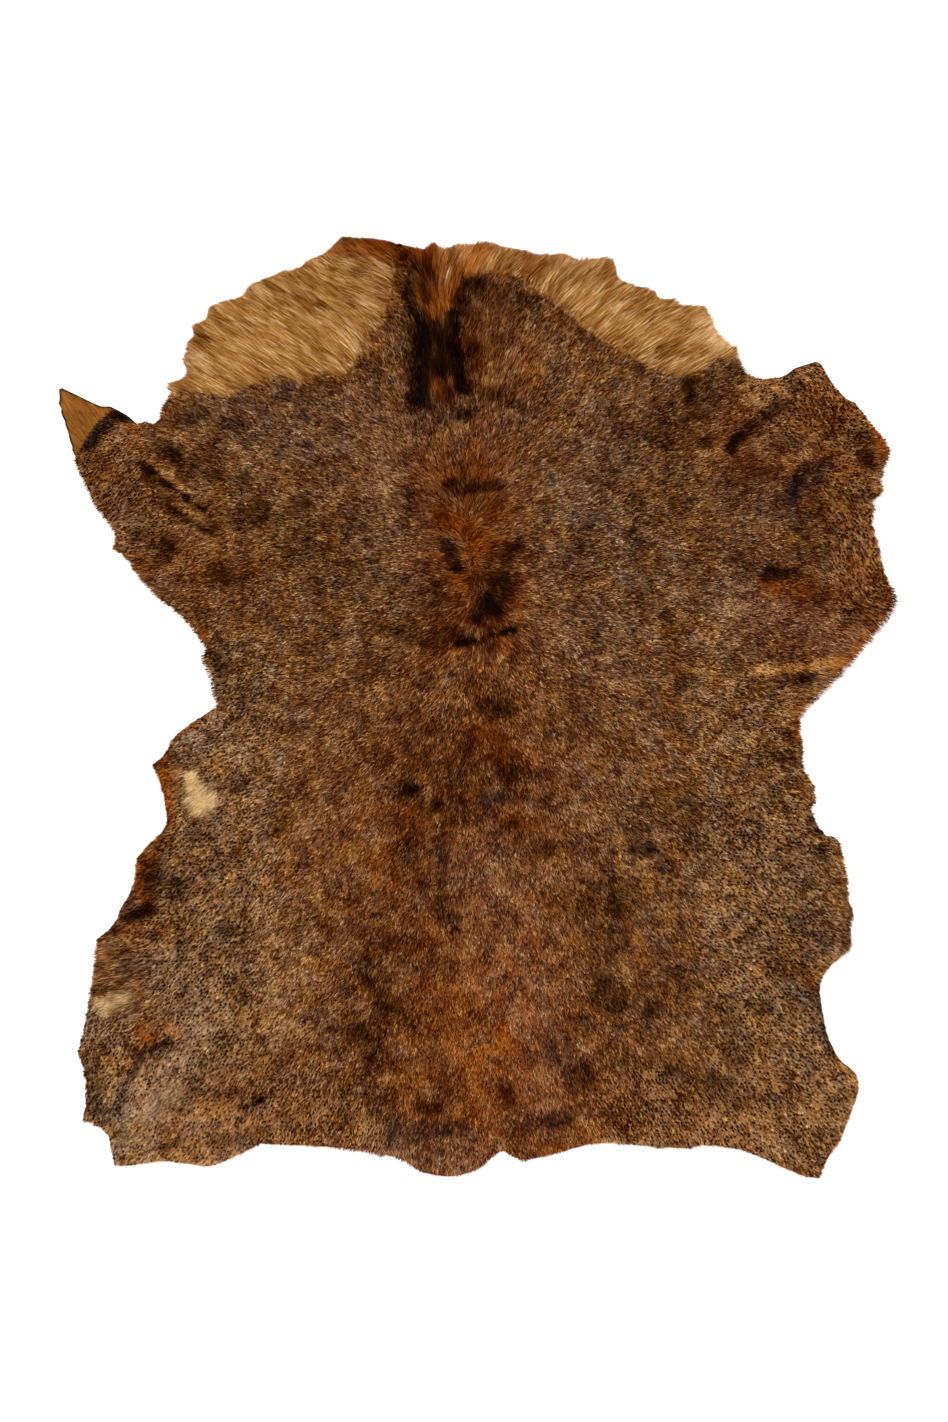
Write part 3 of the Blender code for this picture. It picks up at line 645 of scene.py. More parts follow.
        ("right elbow", 740, 500, 780, 500, 22, 0.4),
        ("left waist", 190, 750, 214, 722, 16, 0.7),
        ("left foreleg, low streak", 116, 508, 132, 520, 9, 0.5),
        # painted shadow: this grey row turns the left foreleg's shadow band blue-black
        ("left foreleg, band by the tip", 86, 440, 102, 423, 8, 1.0),
        ("right waist", 800, 890, 830, 940, 22, 0.4),
        ("right side, rim", 810, 1000, 830, 1040, 12, 0.6),
        ("left side", 150, 960, 190, 1000, 20, 0.45),
        ("left hind leg", 90, 1024, 110, 1040, 12, 0.6),
        ("left hind leg, beside the fold", 140, 1110, 200, 1040, 26, 0.6),
        ("loin, middle blob", 486, 800, 502, 798, 10, 0.8),
        # painted shade: this grey row turns the right elbow's trough shade bluish
        ("right elbow, arc", 826, 464, 796, 490, 9, 0.7),
        ("right flank, upper ground", 740, 560, 782, 602, 22, 0.4),
        ("right back, ground", 640, 552, 700, 590, 26, 0.3),
        ("rump, by the spine", 560, 1050, 588, 1080, 20, 0.2),
        ("rump, tail", 530, 1120, 560, 1136, 14, 0.3),
        ("neck, under the mane", 440, 410, 510, 430, 24, 0.3),
        ("loin, right ground", 560, 760, 620, 820, 26, 0.25),
    ),
    "cream": (
        ("left waist, spot's top", 191, 777, 196, 790, 7, 1.0),
        ("left waist, spot", 196, 790, 202, 803, 10.5, 1.0),
        ("left waist, spot's right", 207, 799, 213, 804, 6.5, 1.0),
        ("left waist, spot's foot", 193, 803, 199, 812, 7, 1.0),
        ("left side, pale spot", 100, 1006, 122, 1000, 7, 0.45),
        # painted light: this faint cream row is the lit ridge beside the left hind leg's fold
        ("left hind leg, ridge", 128, 1134, 172, 1090, 10, 0.1),
    ),
    # scales: where the dark flecks, partly painted shade between tufts, stand thickest and largest, and the grain is
    # strongest
    "scales": (
        ("right foreleg", 790, 400, 840, 410, 46, 1.0),
        ("right elbow", 846, 480, 862, 600, 32, 1.0),
        ("left foreleg", 96, 450, 140, 520, 36, 0.8),
        ("left hind leg", 105, 1050, 105, 1130, 36, 0.75),
        ("left rump", 150, 1110, 330, 1120, 50, 0.75),
        ("left side", 200, 880, 210, 1020, 64, 0.9),
        ("left flank", 230, 690, 220, 840, 46, 0.7),
        ("right side", 760, 860, 790, 1100, 70, 0.9),
        ("right rump", 640, 1110, 800, 1140, 50, 0.9),
        ("right flank", 740, 740, 760, 820, 50, 0.5),
    ),
}

# Above this line, from left to right, the hair is tan: the left patch, the mane's gap, the right patch
tanLine = (
    (140, 396), (165, 393), (180, 391), (205, 393), (225, 397), (240, 388), (260, 384), (280, 374),
    (300, 382), (325, 372), (343, 378), (353, 362), (366, 345), (373, 330), (383, 317), (388, 302),
    (394, 280), (397, 225), (430, 225), (434, 306), (446, 310), (455, 294), (463, 277), (502, 270), (526, 278),
    (542, 293), (575, 317), (600, 340), (620, 350), (650, 368), (665, 374), (686, 375), (700, 369),
    (714, 360), (738, 356), (744, 340), (760, 225),
)


def marked(kind, x, y, wobble, broken=1.0):
    # strong markings have a clear edge, weak ones are soft and broken up
    found = np.zeros(len(x))
    for row in marks[kind]:
        away = (nearLine(x, y, row) + wobble) / (row[5] * board["unit"])
        if row[6] < 0.8:
            near = smooth((1.8 - away) / 1.5) * broken
        else:
            near = smooth(1.35 - away)
        found = 1.0 - (1.0 - found) * (1.0 - np.clip(row[6] * near, 0.0, 1.0))
    return found


def tanPatches(x, y, wobble):
    lineX, lineY = onBoard(*np.array(tanLine).T)
    above = y - np.interp(x, lineX, lineY) + wobble
    return smooth(0.5 + above / 0.004)


# Where the hair is longer or shorter than on the back, and how far it may pass the rim

lengths = {
    "back": 4.6,
    "tan": 17.0,
    "zones": (
        # name, from, to, half width, length in millimetres
        ("neck, by the mane", 480, 300, 500, 380, 30, 7.0),
        ("mane", 430, 268, 442, 392, 17, 13.0),
        ("neck, fan", 446, 262, 520, 260, 12, 14.0),
        ("whorl", 468, 500, 486, 626, 36, 6.8),
        ("right flank, soft rim", 888, 590, 806, 712, 15, 9.5),
        ("left side, rim", 96, 950, 150, 1000, 26, 9.0),
        ("left foreleg, rim", 76, 446, 150, 575, 7, 8.0),
        ("left shoulder, rim", 160, 400, 190, 340, 6, 8.0),
        ("left flank, rim", 204, 655, 216, 700, 7, 8.0),
        ("left waist, low rim", 138, 868, 156, 842, 6, 7.0),
        ("left hind leg, rim", 84, 1125, 88, 1020, 7, 7.0),
        ("right shoulder, rim", 640, 300, 745, 372, 6, 8.0),
        ("right foreleg, rim", 878, 466, 882, 590, 7, 8.5),
        ("left foreleg", 80, 400, 150, 520, 50, 5.0),
        ("right foreleg", 780, 400, 870, 440, 48, 4.6),
        ("right elbow", 850, 480, 862, 570, 34, 5.0),
        ("left hind leg", 100, 1050, 110, 1140, 40, 4.8),
        ("left rump", 180, 1110, 400, 1130, 40, 5.2),
        ("right rump", 560, 1110, 820, 1140, 50, 5.2),
        ("left side", 190, 900, 190, 1020, 46, 5.4),
        ("right side", 800, 880, 820, 1060, 50, 5.4),
        ("cream spot", 192, 780, 204, 808, 16, 8.0),
    ),
}
overhang = {
    "plain": 1.2,
    "zones": (
        # name, from, to, half width, how far past the rim in millimetres
        ("left foreleg, lower rim", 78, 462, 114, 550, 24, 3.5),
        ("left shoulder", 165, 395, 200, 325, 24, 3.0),
        ("left patch, rim", 205, 320, 300, 262, 16, 1.6),
        ("mane", 425, 250, 470, 246, 20, 3.0),
        ("neck, right part", 500, 248, 610, 260, 18, 2.4),
        ("right shoulder", 640, 288, 740, 360, 18, 3.0),
        ("right foreleg, lower rim", 884, 462, 880, 560, 24, 5.0),
        ("right flank", 896, 600, 800, 718, 26, 5.5),
        ("right waist", 800, 730, 852, 940, 20, 3.5),
        ("left hind leg", 82, 1120, 92, 960, 20, 3.5),
        ("left flank", 215, 700, 200, 640, 18, 3.0),
        ("left waist, low rim", 138, 868, 156, 842, 12, 4.0),
        ("rump, left part", 350, 1150, 404, 1160, 14, 3.0),
    ),
}

standBack = {
    "plain": 0.8,
    "zones": (
        # name, from, to, half width, how far inside the outline the leather ends in millimetres
        ("right flank", 896, 596, 800, 716, 16, 5.2),
        ("left foreleg, lower rim", 78, 462, 150, 580, 14, 1.7),
        ("left shoulder", 165, 395, 185, 330, 14, 3.4),
        ("left patch", 185, 330, 330, 245, 14, 3.0),
        ("neck", 440, 246, 640, 275, 12, 2.6),
        ("right patch", 640, 288, 745, 365, 14, 3.6),
        ("right foreleg", 884, 462, 880, 590, 14, 1.5),
        ("left flank", 150, 580, 215, 690, 14, 3.6),
        ("right waist", 800, 730, 852, 940, 14, 2.0),
        ("left hind leg", 82, 1120, 100, 960, 14, 1.6),
    ),
}


def zoned(table, base, x, y):
    value = np.full(len(x), float(base))
    for row in table["zones"]:
        near = smooth(1.5 - nearLine(x, y, row) / (row[5] * board["unit"]))
        value += (row[6] - value) * near
    return value * board["unit"]


def hairLength(x, y):
    plain = zoned(lengths, lengths["back"], x, y)
    return plain + (lengths["tan"] * board["unit"] - plain) * tanPatches(x, y, 0.0)


def setBack(x, y):
    # moves places by the rim inwards, the rim itself as far as the table says
    step = relief["cell"]
    slopeX = sampled(rimGrid, x + step, y) - sampled(rimGrid, x - step, y)
    slopeY = sampled(rimGrid, x, y + step) - sampled(rimGrid, x, y - step)
    back = zoned(standBack, standBack["plain"], x, y)
    share = back * np.clip(1.0 - sampled(rimGrid, x, y) / (3.0 * back), 0.0, 1.0) ** 2 / (np.hypot(slopeX, slopeY) + 1e-9)
    return x + share * slopeX, y + share * slopeY


# Tufts: each hair belongs to its nearest centre on a jittered grid that is stretched along the hair

tufts = {
    "coat": {"pitch": 0.0026, "stretch": 1.25, "gap": 0.2, "search": 2},
    "locks": {"pitch": 0.0064, "stretch": 2.7, "gap": 0.22, "search": 3},
}


def tuftOf(kind, x, y, turn, seed):
    # the tuft's own tone, and how close the hair is to the gap beside it, both from 0 to 1; the finish darkens hairs
    # by the gap as painted shade between tufts
    tuft = tufts[kind]
    jumble = np.random.default_rng(seed).random((3, 128, 128))
    baseI = np.floor(x / tuft["pitch"]).astype(int)
    baseJ = np.floor(y / tuft["pitch"]).astype(int)
    first = np.full(len(x), np.inf)
    second = np.full(len(x), np.inf)
    tone = np.zeros(len(x))
    cosine, sine = np.cos(turn) / tuft["pitch"], np.sin(turn) / tuft["pitch"]
    reach = range(-tuft["search"], tuft["search"] + 1)
    for i in reach:
        for j in reach:
            cellI, cellJ = baseI + i, baseJ + j
            dice = jumble[:, cellI % 128, cellJ % 128]
            offX = x - (cellI + dice[0]) * tuft["pitch"]
            offY = y - (cellJ + dice[1]) * tuft["pitch"]
            along, aside = offX * cosine + offY * sine, offY * cosine - offX * sine
            distance = np.hypot(along / tuft["stretch"], aside * tuft["stretch"])
            closer = distance < first
            second = np.where(closer, first, np.minimum(second, distance))
            tone = np.where(closer, dice[2], tone)
            first = np.where(closer, distance, first)
    return tone, smooth(1.0 - (second - first) / tuft["gap"])


# Meshes made straight from arrays

def meshFrom(name, places, triangles, smoothFaces=True):
    mesh = bpy.data.meshes.new(name)
    mesh.vertices.add(len(places))
    mesh.vertices.foreach_set("co", places.astype(np.float32).ravel())
    mesh.loops.add(3 * len(triangles))
    mesh.loops.foreach_set("vertex_index", triangles.astype(np.int32).ravel())
    mesh.polygons.add(len(triangles))
    mesh.polygons.foreach_set("loop_start", np.arange(0, 3 * len(triangles), 3, dtype=np.int32))
    mesh.polygons.foreach_set("use_smooth", np.full(len(triangles), smoothFaces))
    mesh.update(calc_edges=True)
    piece = bpy.data.objects.new(name, mesh)
    bpy.context.scene.collection.objects.link(piece)
    return piece


def addMap(piece, places, triangles):
    flat = piece.data.uv_layers.new(name="OFBake")
    flat.data.foreach_set("uv", places[triangles.ravel()].astype(np.float32).ravel())


def addVectors(piece, name, x, y, z):
    kept = piece.data.attributes.new(name, "FLOAT_VECTOR", "POINT")
    kept.data.foreach_set("vector", np.column_stack((x, y, z)).astype(np.float32).ravel())


# The hair layers, from the skin up. Heights are shares of the coat's depth, widths are in millimetres.
# A blade's outline is rows of share along it and share of its width.

blades = {
    "short": ((0.0, 0.5), (1.0, 0.0)),
    "leaf": ((0.0, 0.0), (0.42, 0.5), (1.0, 0.0)),
    "long": ((0.0, 0.0), (0.30, 0.5), (0.68, 0.42), (1.0, 0.0)),
}
coat = {
    "bareBelow": 0.0007,
    "longFrom": 0.0098,
    "longArea": 0.076,
    "rootDrop": 0.45,
    "underfur": {"hairs": 152000, "blade": "short", "length": 1.0, "width": 1.25, "low": 0.20, "high": 0.50, "tone": -0.14},
    "coat_low": {"hairs": 186000, "blade": "short", "length": 1.0, "width": 1.10, "low": 0.35, "high": 0.75, "tone": -0.03},
    "coat_high": {"hairs": 186000, "blade": "short", "length": 1.0, "width": 1.05, "low": 0.50, "high": 0.92, "tone": 0.02},
    "guard_hair": {"hairs": 90000, "blade": "leaf", "length": 0.95, "width": 0.85, "low": 0.65, "high": 1.0, "tone": 0.08},
    "long_hair": {"hairs": 40000, "blade": "long", "length": 1.25, "width": 0.70, "low": 0.50, "high": 1.12, "tone": 0.02},
    # dark flecks: partly dark hair tips, partly painted shade between tufts
    "dark_tips_and_shade": {"hairs": 42000, "blade": "leaf", "length": 0.70, "width": 2.5, "low": 1.08, "high": 1.16, "tone": -0.46},
}
flecks = {"jitter": 0.38, "fewest": 0.3, "smallest": 0.6, "shortest": 3.4}


def strewn(hairs, onlyLong):
    # evenly strewn roots, each jittered in its own cell of the hide
    pitch = math.sqrt((coat["longArea"] if onlyLong else 0.622) / hairs)
    columns = int((cadHigh.x - cadLow.x) / pitch) + 1
    rows = int((cadHigh.y - cadLow.y) / pitch) + 1
    i, j = np.meshgrid(np.arange(columns), np.arange(rows), indexing="ij")
    x = cadLow.x + (i.ravel() + chance.random(columns * rows)) * pitch
    y = cadLow.y + (j.ravel() + chance.random(columns * rows)) * pitch
    back = zoned(standBack, standBack["plain"], x, y)
    keep = (sampled(rimGrid, x, y) > back) & (sampled(coatGrid, x, y) > coat["bareBelow"])
    if onlyLong:
        keep &= hairLength(x, y) > coat["longFrom"] + 0.001 * chance.random(len(x))
    return x[keep], y[keep]


def inRows(hairs):
    # dark tips stand in staggered rows, fewer where the coat is plain, none in the long hair; these dark flecks are
    # partly dark hair tips and partly painted shade between tufts, in rows where the skin curves
    pitch = math.sqrt(0.622 / hairs / 0.866)
    columns = int((cadHigh.x - cadLow.x) / pitch) + 2
    rows = int((cadHigh.y - cadLow.y) / (0.866 * pitch)) + 2
    i, j = np.meshgrid(np.arange(columns), np.arange(rows), indexing="ij")
    stray = flecks["jitter"] * (chance.random((2, columns * rows)) - 0.5)
    x = cadLow.x + (i.ravel() + 0.5 * (j.ravel() % 2) + stray[0]) * pitch
    y = cadLow.y + (0.866 * j.ravel() + stray[1]) * pitch
    keep = (sampled(rimGrid, x, y) > 0.001) & (sampled(coatGrid, x, y) > coat["bareBelow"])
    keep &= hairLength(x, y) < coat["longFrom"]
    x, y = x[keep], y[keep]
    share = flecks["fewest"] + (1.0 - flecks["fewest"]) * marked("scales", x, y, 0.0)
    keep = (chance.random(len(x)) < share) & (marked("cream", x, y, 0.0) < 0.3)
    keep &= tanPatches(x, y, 0.0) < 0.3
    return x[keep], y[keep]


def growHair(name):
    layer = coat[name]
    outline = blades[layer["blade"]]
    onlyLong, dark = layer["blade"] == "long", name == "dark_tips_and_shade"
    x, y = inRows(layer["hairs"]) if dark else strewn(layer["hairs"], onlyLong)
    count = len(x)
    fromWhorl = nearLine(x, y, flow["whorl"]) / (flow["whorlReach"] * board["unit"])
    full = hairLength(x, y)
    scatter = flow["scatter"] * (lengths["back"] * board["unit"] / full) ** 1.3
    scatter = scatter + flow["whorlScatter"] * np.exp(-fromWhorl ** 2)
    turn = heading(x, y) + np.radians(scatter) * chance.standard_normal(count)
    long = full * layer["length"] * (0.72 + 0.56 * chance.random(count))
    long = long * (1.0 - 0.3 * np.exp(-fromWhorl ** 2))
    wide = layer["width"] * 0.001 * (0.7 + 0.6 * chance.random(count))
    wide = wide * (lengths["back"] * board["unit"] / full) ** (0.45 - 0.22 * tanPatches(x, y, 0.0))
    scales = marked("scales", x, y, 0.0)
    if dark:
        long = np.maximum(long, flecks["shortest"] * board["unit"])
        size = flecks["smallest"] + (1.0 - flecks["smallest"]) * scales
        long, wide = long * size, wide * size
    else:
        wide = wide * (1.0 - 0.28 * scales)

    # a hair that would pass the rim too far is cut back
    rootDepth = sampled(rimGrid, x, y)
    tipDepth = sampled(rimGrid, x + long * np.cos(turn), y + long * np.sin(turn))
    ragged = cloud(x, y, 0.005, 13) * cloud(x, y, 0.011, 14)
    allowed = zoned(overhang, overhang["plain"], x, y) * (0.2 + 3.0 * ragged) * (0.4 + 0.9 * chance.random(count))
    drop = np.maximum(rootDepth - tipDepth, 1e-6)
    share = np.where(-tipDepth > allowed, (rootDepth + allowed) / drop, 1.0)
    long = long * np.clip(share, 0.25, 1.0)

    rise = layer["low"] + (layer["high"] - layer["low"]) * chance.random(count)
    depth = np.maximum(sampled(coatGrid, x, y), 0.0012)
    roll = chance.normal(0.0, 0.28, count)
    bow = chance.normal(0.0, 0.08, count)
    dirX, dirY = np.cos(turn), np.sin(turn)
    sideX, sideY = -dirY, dirX

    def spot(share, aside):
        # a place along the hair: out from the root, bowed, and to one side
        off = long * bow * math.sin(math.pi * share) + aside
        placeX = x + dirX * long * share + sideX * off
        placeY = y + dirY * long * share + sideY * off
        outside = smooth(-sampled(rimGrid, placeX, placeY) / 0.006)
        rising = np.maximum(rise - coat["rootDrop"] * (1.0 - math.sin(0.5 * math.pi * min(1.0, 1.25 * share))), 0.0)
        lift = depth * rising * (1.0 - 0.6 * outside)
        tilt = aside * np.sin(roll)
        return np.column_stack((placeX, placeY, sampled(leatherGrid, placeX, placeY) + lift + tilt - 0.0002))

    stations, inSquare, along, rowsOf = [], [], [], []
    for share, half in outline:
        sides = (-1, 1) if half else (0,)
        rowsOf.append(list(range(len(stations), len(stations) + len(sides))))
        for side in sides:
            stations.append(spot(share, side * half * wide))
            inSquare.append((0.5 + 0.42 * side, 0.06 + 0.88 * share))
            along.append(share)
    each = len(stations)
    pattern = []
    for here, there in zip(rowsOf, rowsOf[1:]):
        if len(here) == 1:
            pattern.append((here[0], there[0], there[1]))
        elif len(there) == 1:
            pattern.append((here[0], there[0], here[1]))
        else:
            pattern += [(here[0], there[0], here[1]), (here[1], there[0], there[1])]
    places = np.stack(stations, axis=1).reshape(-1, 3)
    triangles = (np.arange(count)[:, None, None] * each + np.array(pattern)[None]).reshape(-1, 3)
    piece = meshFrom(name, places, triangles)

    # each hair has its own small square on the map
    across = int(math.ceil(math.sqrt(count)))
    square = np.column_stack((np.arange(count) % across, np.arange(count) // across))
    addMap(piece, ((square[:, None, :] + np.array(inSquare)[None]) / across).reshape(-1, 2), triangles)

    # what the finish reads: where the hair shows, its markings and its grain
    showX, showY = x + 0.6 * long * dirX, y + 0.6 * long * dirY
    wobble = 0.004 * (cloud(x, y, 0.006, 7) + cloud(x, y, 0.013, 8) - 1.0) + chance.normal(0.0, 0.0009, count)
    broken = 0.25 + 1.5 * cloud(x, y, 0.010, 10)
    masks = {kind: marked(kind, showX, showY, wobble, broken) for kind in marks}
    tan = tanPatches(showX, showY, wobble * 1.2)
    for kind in ("grey", "gold"):
        masks[kind] = masks[kind] * (1.0 - tan)
    tone, gap = tuftOf("coat", showX, showY, heading(showX, showY), 11)
    inLocks = (tan > 0.05) | (full > coat["longFrom"])
    lockX, lockY = showX[inLocks], showY[inLocks]
    lockTone, lockGap = tuftOf("locks", lockX, lockY, heading(lockX, lockY), 12)
    tone[inLocks] = 0.35 * tone[inLocks] + 0.65 * lockTone
    gap[inLocks] = lockGap
    nearRim = np.exp(-np.maximum(sampled(rimGrid, showX, showY), 0.0) / 0.0022)
    masks["rust"] = np.maximum(masks["rust"], 0.55 * nearRim * smooth(2.5 * cloud(x, y, 0.03, 9) - 0.7))

    def perPoint(values):
        return np.repeat(values, each)

    addVectors(piece, "spot", perPoint(showX), perPoint(showY), perPoint(0.0 * showX))
    addVectors(piece, "grain", perPoint(chance.random(count)), perPoint(tone), perPoint(gap))
    addVectors(piece, "tones", perPoint(masks["dark"]), perPoint(masks["rust"]), perPoint(tan))
    addVectors(piece, "lights", perPoint(masks["pale"]), perPoint(masks["grey"]), perPoint(masks["gold"]))
    addVectors(piece, "rest", perPoint(masks["cream"]), perPoint(masks["scales"]), np.tile(along, count))
    print(f"{name}: {count} hairs, {len(triangles)} triangles")
    return piece


# Finishes

def tint(red, green, blue):
    # a colour as seen, in 0 to 255, as the shader takes it
    return tuple(((c / 255.0 + 0.055) / 1.055) ** 2.4 if c > 10 else c / 255.0 / 12.92 for c in (red, green, blue)) + (1.0,)


class Wire:
    # a socket that takes part in sums
    def __init__(self, finish, socket):
        self.finish, self.socket = finish, socket

    def sum(self, operation, first, second, clamp=False):
        settings = {"operation": operation, "use_clamp": clamp}
        return Wire(self.finish, self.finish.node("ShaderNodeMath", settings, {0: first, 1: second}).outputs[0])

    def __add__(self, other):
        return self.sum("ADD", self, other)

    def __radd__(self, other):
        return self.sum("ADD", other, self)

    def __sub__(self, other):
        return self.sum("SUBTRACT", self, other)

    def __rsub__(self, other):
        return self.sum("SUBTRACT", other, self)

    def __mul__(self, other):
        return self.sum("MULTIPLY", self, other)

    def __rmul__(self, other):
        return self.sum("MULTIPLY", other, self)

    def held(self):
        return self.sum("ADD", self, 0.0, clamp=True)


class Finish:
    def __init__(self, name, roughness):
        self.material = bpy.data.materials.new(name)
        self.material.use_nodes = True
        self.tree = self.material.node_tree
        self.shader = self.tree.nodes["Principled BSDF"]
        self.shader.inputs["Roughness"].default_value = roughness
        self.shader.inputs["Specular IOR Level"].default_value = 0.02

    def node(self, kind, settings, sockets):
        made = self.tree.nodes.new(kind)
        for name, value in settings.items():
            if name == "stops":
                while len(made.color_ramp.elements) < len(value):
                    made.color_ramp.elements.new(0.5)
                for element, (place, colour) in zip(made.color_ramp.elements, value):
                    element.position, element.color = place, colour
            else:
                setattr(made, name, value)
        for name, value in sockets.items():
            if isinstance(value, Wire):
                self.tree.links.new(value.socket, made.inputs[name])
            else:
                made.inputs[name].default_value = value
        return made

    def kept(self, name):
        # the three numbers of an attribute
        source = self.node("ShaderNodeAttribute", {"attribute_name": name}, {})
        vector = Wire(self, source.outputs["Vector"])
        split = self.node("ShaderNodeSeparateXYZ", {}, {0: vector})
        return [Wire(self, socket) for socket in split.outputs]

    def place(self, name):
        source = self.node("ShaderNodeAttribute", {"attribute_name": name}, {})
        return Wire(self, source.outputs["Vector"])

    def shifted(self, place, offset):
        made = self.node("ShaderNodeVectorMath", {"operation": "ADD"}, {0: place, 1: offset})
        return Wire(self, made.outputs[0])

    def noise(self, place, scale, detail, roughness=0.5):
        made = self.node(
            "ShaderNodeTexNoise", {}, {"Vector": place, "Scale": scale, "Detail": detail, "Roughness": roughness}
        )
        return Wire(self, made.outputs["Fac"])

    def ramp(self, amount, stops):
        made = self.node("ShaderNodeValToRGB", {"stops": stops}, {0: amount})
        return Wire(self, made.outputs["Color"])

    def mix(self, amount, first, second, blend="MIX"):
        made = self.node("ShaderNodeMix", {"data_type": "RGBA", "blend_type": blend}, {0: amount, 6: first, 7: second})
        return Wire(self, made.outputs[2])

    def paint(self, colour):
        self.tree.links.new(colour.socket, self.shader.inputs["Base Color"])


hairColours = {
    "brindle": (
        (0.0, tint(30, 11, 0)), (0.25, tint(66, 34, 15)), (0.5, tint(111, 71, 43)),
        (0.75, tint(161, 118, 81)), (1.0, tint(211, 174, 136)),
    ),
    "warm": (
        (0.0, tint(34, 11, 0)), (0.25, tint(80, 37, 6)), (0.5, tint(133, 77, 27)),
        (0.75, tint(183, 124, 62)), (1.0, tint(227, 176, 110)),
    ),
    "rust": ((0.0, tint(32, 5, 0)), (0.35, tint(84, 30, 0)), (0.65, tint(148, 68, 8)), (1.0, tint(198, 120, 42))),
    "tan": ((0.0, tint(92, 44, 6)), (0.3, tint(152, 94, 34)), (0.6, tint(198, 142, 72)), (1.0, tint(244, 208, 152))),
    "black": ((0.0, tint(5, 0, 0)), (0.5, tint(22, 6, 0)), (1.0, tint(56, 24, 8))),
    "blueBlack": ((0.0, tint(10, 7, 12)), (0.5, tint(28, 24, 30)), (1.0, tint(80, 66, 66))),
    "grey": (
        (0.0, tint(30, 16, 12)), (0.25, tint(68, 42, 32)), (0.5, tint(114, 80, 60)),
        (0.75, tint(160, 126, 100)), (1.0, tint(210, 180, 148)),
    ),
    "cream": ((0.0, tint(160, 112, 56)), (0.5, tint(216, 174, 112)), (1.0, tint(248, 216, 160))),
}


def hairFinish(name, tone):
    finish = Finish(name, 0.6)
    spot = finish.place("spot")
    strand, tuft, gap = finish.kept("grain")
    dark, rust, tan = finish.kept("tones")
    pale, grey, gold = finish.kept("lights")
    cream, scales, along = finish.kept("rest")
    smokeSpot = finish.shifted(spot, (3.1, 0.7, 0.0))
    emberSpot = finish.shifted(spot, (0.4, 5.2, 0.0))
    broad = finish.noise(spot, 24.0, 1.0)
    patchy = finish.noise(spot, 66.0, 2.0, 0.6)
    fine = finish.noise(spot, 230.0, 0.0)
    warmth = finish.noise(spot, 44.0, 2.0, 0.6)
    light = 0.53 + tone + 0.6 * (broad - 0.5) + 0.72 * (patchy - 0.5) + 0.3 * (fine - 0.5)
    # painted shade: the gap term darkens hairs towards the gaps between tufts
    grain = 0.72 * (strand - 0.5) + 0.32 * (tuft - 0.5) + 0.20 * (along - 0.6) - 0.26 * gap
    light = light + (0.78 + 0.50 * scales - 0.26 * rust) * grain
    # pale and gold raise the lightness and dark lowers it: markings, plus painted light on ridges and painted shade in
    # folds and creases
    light = (light + 0.36 * pale - 0.26 * dark + 0.28 * gold + 0.13 * scales).held()
    brindle = finish.ramp(light, hairColours["brindle"])
    warm = finish.ramp(light, hairColours["warm"])
    colour = finish.mix((3.2 * (warmth - 0.358) + 0.5 * (strand - 0.5) + 0.6 * (tuft - 0.5)).held(), brindle, warm)
    smoke = (8.0 * (finish.noise(smokeSpot, 62.0, 1.0) - 0.585)).held()
    ember = (7.0 * (finish.noise(emberSpot, 56.0, 1.0) - 0.62)).held()
    # grey: greyish hair, and along the spine a painted sheen
    greyed = finish.ramp((light - 0.18 * smoke).held(), hairColours["grey"])
    colour = finish.mix((0.75 * grey + 0.6 * smoke).held(), colour, greyed)
    rusty = finish.ramp((light + 0.05).held(), hairColours["rust"])
    colour = finish.mix((rust + 0.35 * ember).held(), colour, rusty)
    # gold: golden hair, and on ridges painted light
    colour = finish.mix(gold * (1.0 - 0.6 * rust), colour, warm)
    # painted shade: the tan streaks also darken towards the gaps between tufts
    streak = 0.54 + 0.52 * (strand - 0.5) + 0.32 * (tuft - 0.5) + 1.0 * (patchy - 0.5) - 0.3 * gap - 0.5 * dark
    streak = (streak + 0.16 * (along - 0.5) + 0.3 * pale).held()
    colour = finish.mix((tan - 0.9 * rust).held(), colour, finish.ramp(streak, hairColours["tan"]))
    # dark marks: dark markings, plus painted shade in folds, creases and the foreleg's shadow band
    depth = finish.mix(grey, finish.ramp(light, hairColours["black"]), finish.ramp(light, hairColours["blueBlack"]))
    colour = finish.mix((dark * (0.95 - 0.8 * tan)).held(), colour, depth)
    colour = finish.mix(cream, colour, finish.ramp((streak + 0.22).held(), hairColours["cream"]))
    finish.paint(colour)
    return finish.material


skin = {
    # undercoat: the skin between the hairs, dark partly as its own colour and partly as painted shade in the gaps
    "undercoat": tint(48, 28, 14),
    "flesh": ((0.0, tint(172, 144, 112)), (0.5, tint(200, 174, 142)), (1.0, tint(222, 200, 170))),
    "bare": ((0.0, tint(60, 32, 10)), (0.4, tint(126, 76, 26)), (0.7, tint(152, 98, 42)), (1.0, tint(186, 136, 76))),
}


def skinFinish():
    finish = Finish("leather", 0.7)
    side, bare, tanned = finish.kept("side")
    place = finish.place("spot")
    patchy = finish.noise(place, 40.0, 4.0, 0.6)
    fine = finish.noise(place, 600.0, 3.0, 0.6)
    streak = finish.noise(finish.place("streak"), 1.0, 3.0, 0.6)
    nearRim = finish.kept("streak")[2]
    flesh = finish.ramp((patchy + 0.5 * (fine - 0.5)).held(), skin["flesh"])
    bareColour = finish.ramp((0.45 + 0.6 * (patchy - 0.5) + 1.3 * (streak - 0.5) + 0.5 * (fine - 0.5) - 0.7 * nearRim).held(), skin["bare"])
    # the skin under the hair is dark, partly its own colour, partly painted shade between the hairs
    under = finish.mix(tanned, skin["undercoat"], tint(122, 80, 38))
    under = finish.mix((0.6 * fine).held(), under, tint(30, 16, 8))
    colour = finish.mix(bare, under, bareColour)
    finish.paint(finish.mix(side, colour, flesh))
    return finish.material


# The leather: the solid's plan again, finer, with a rounded rim

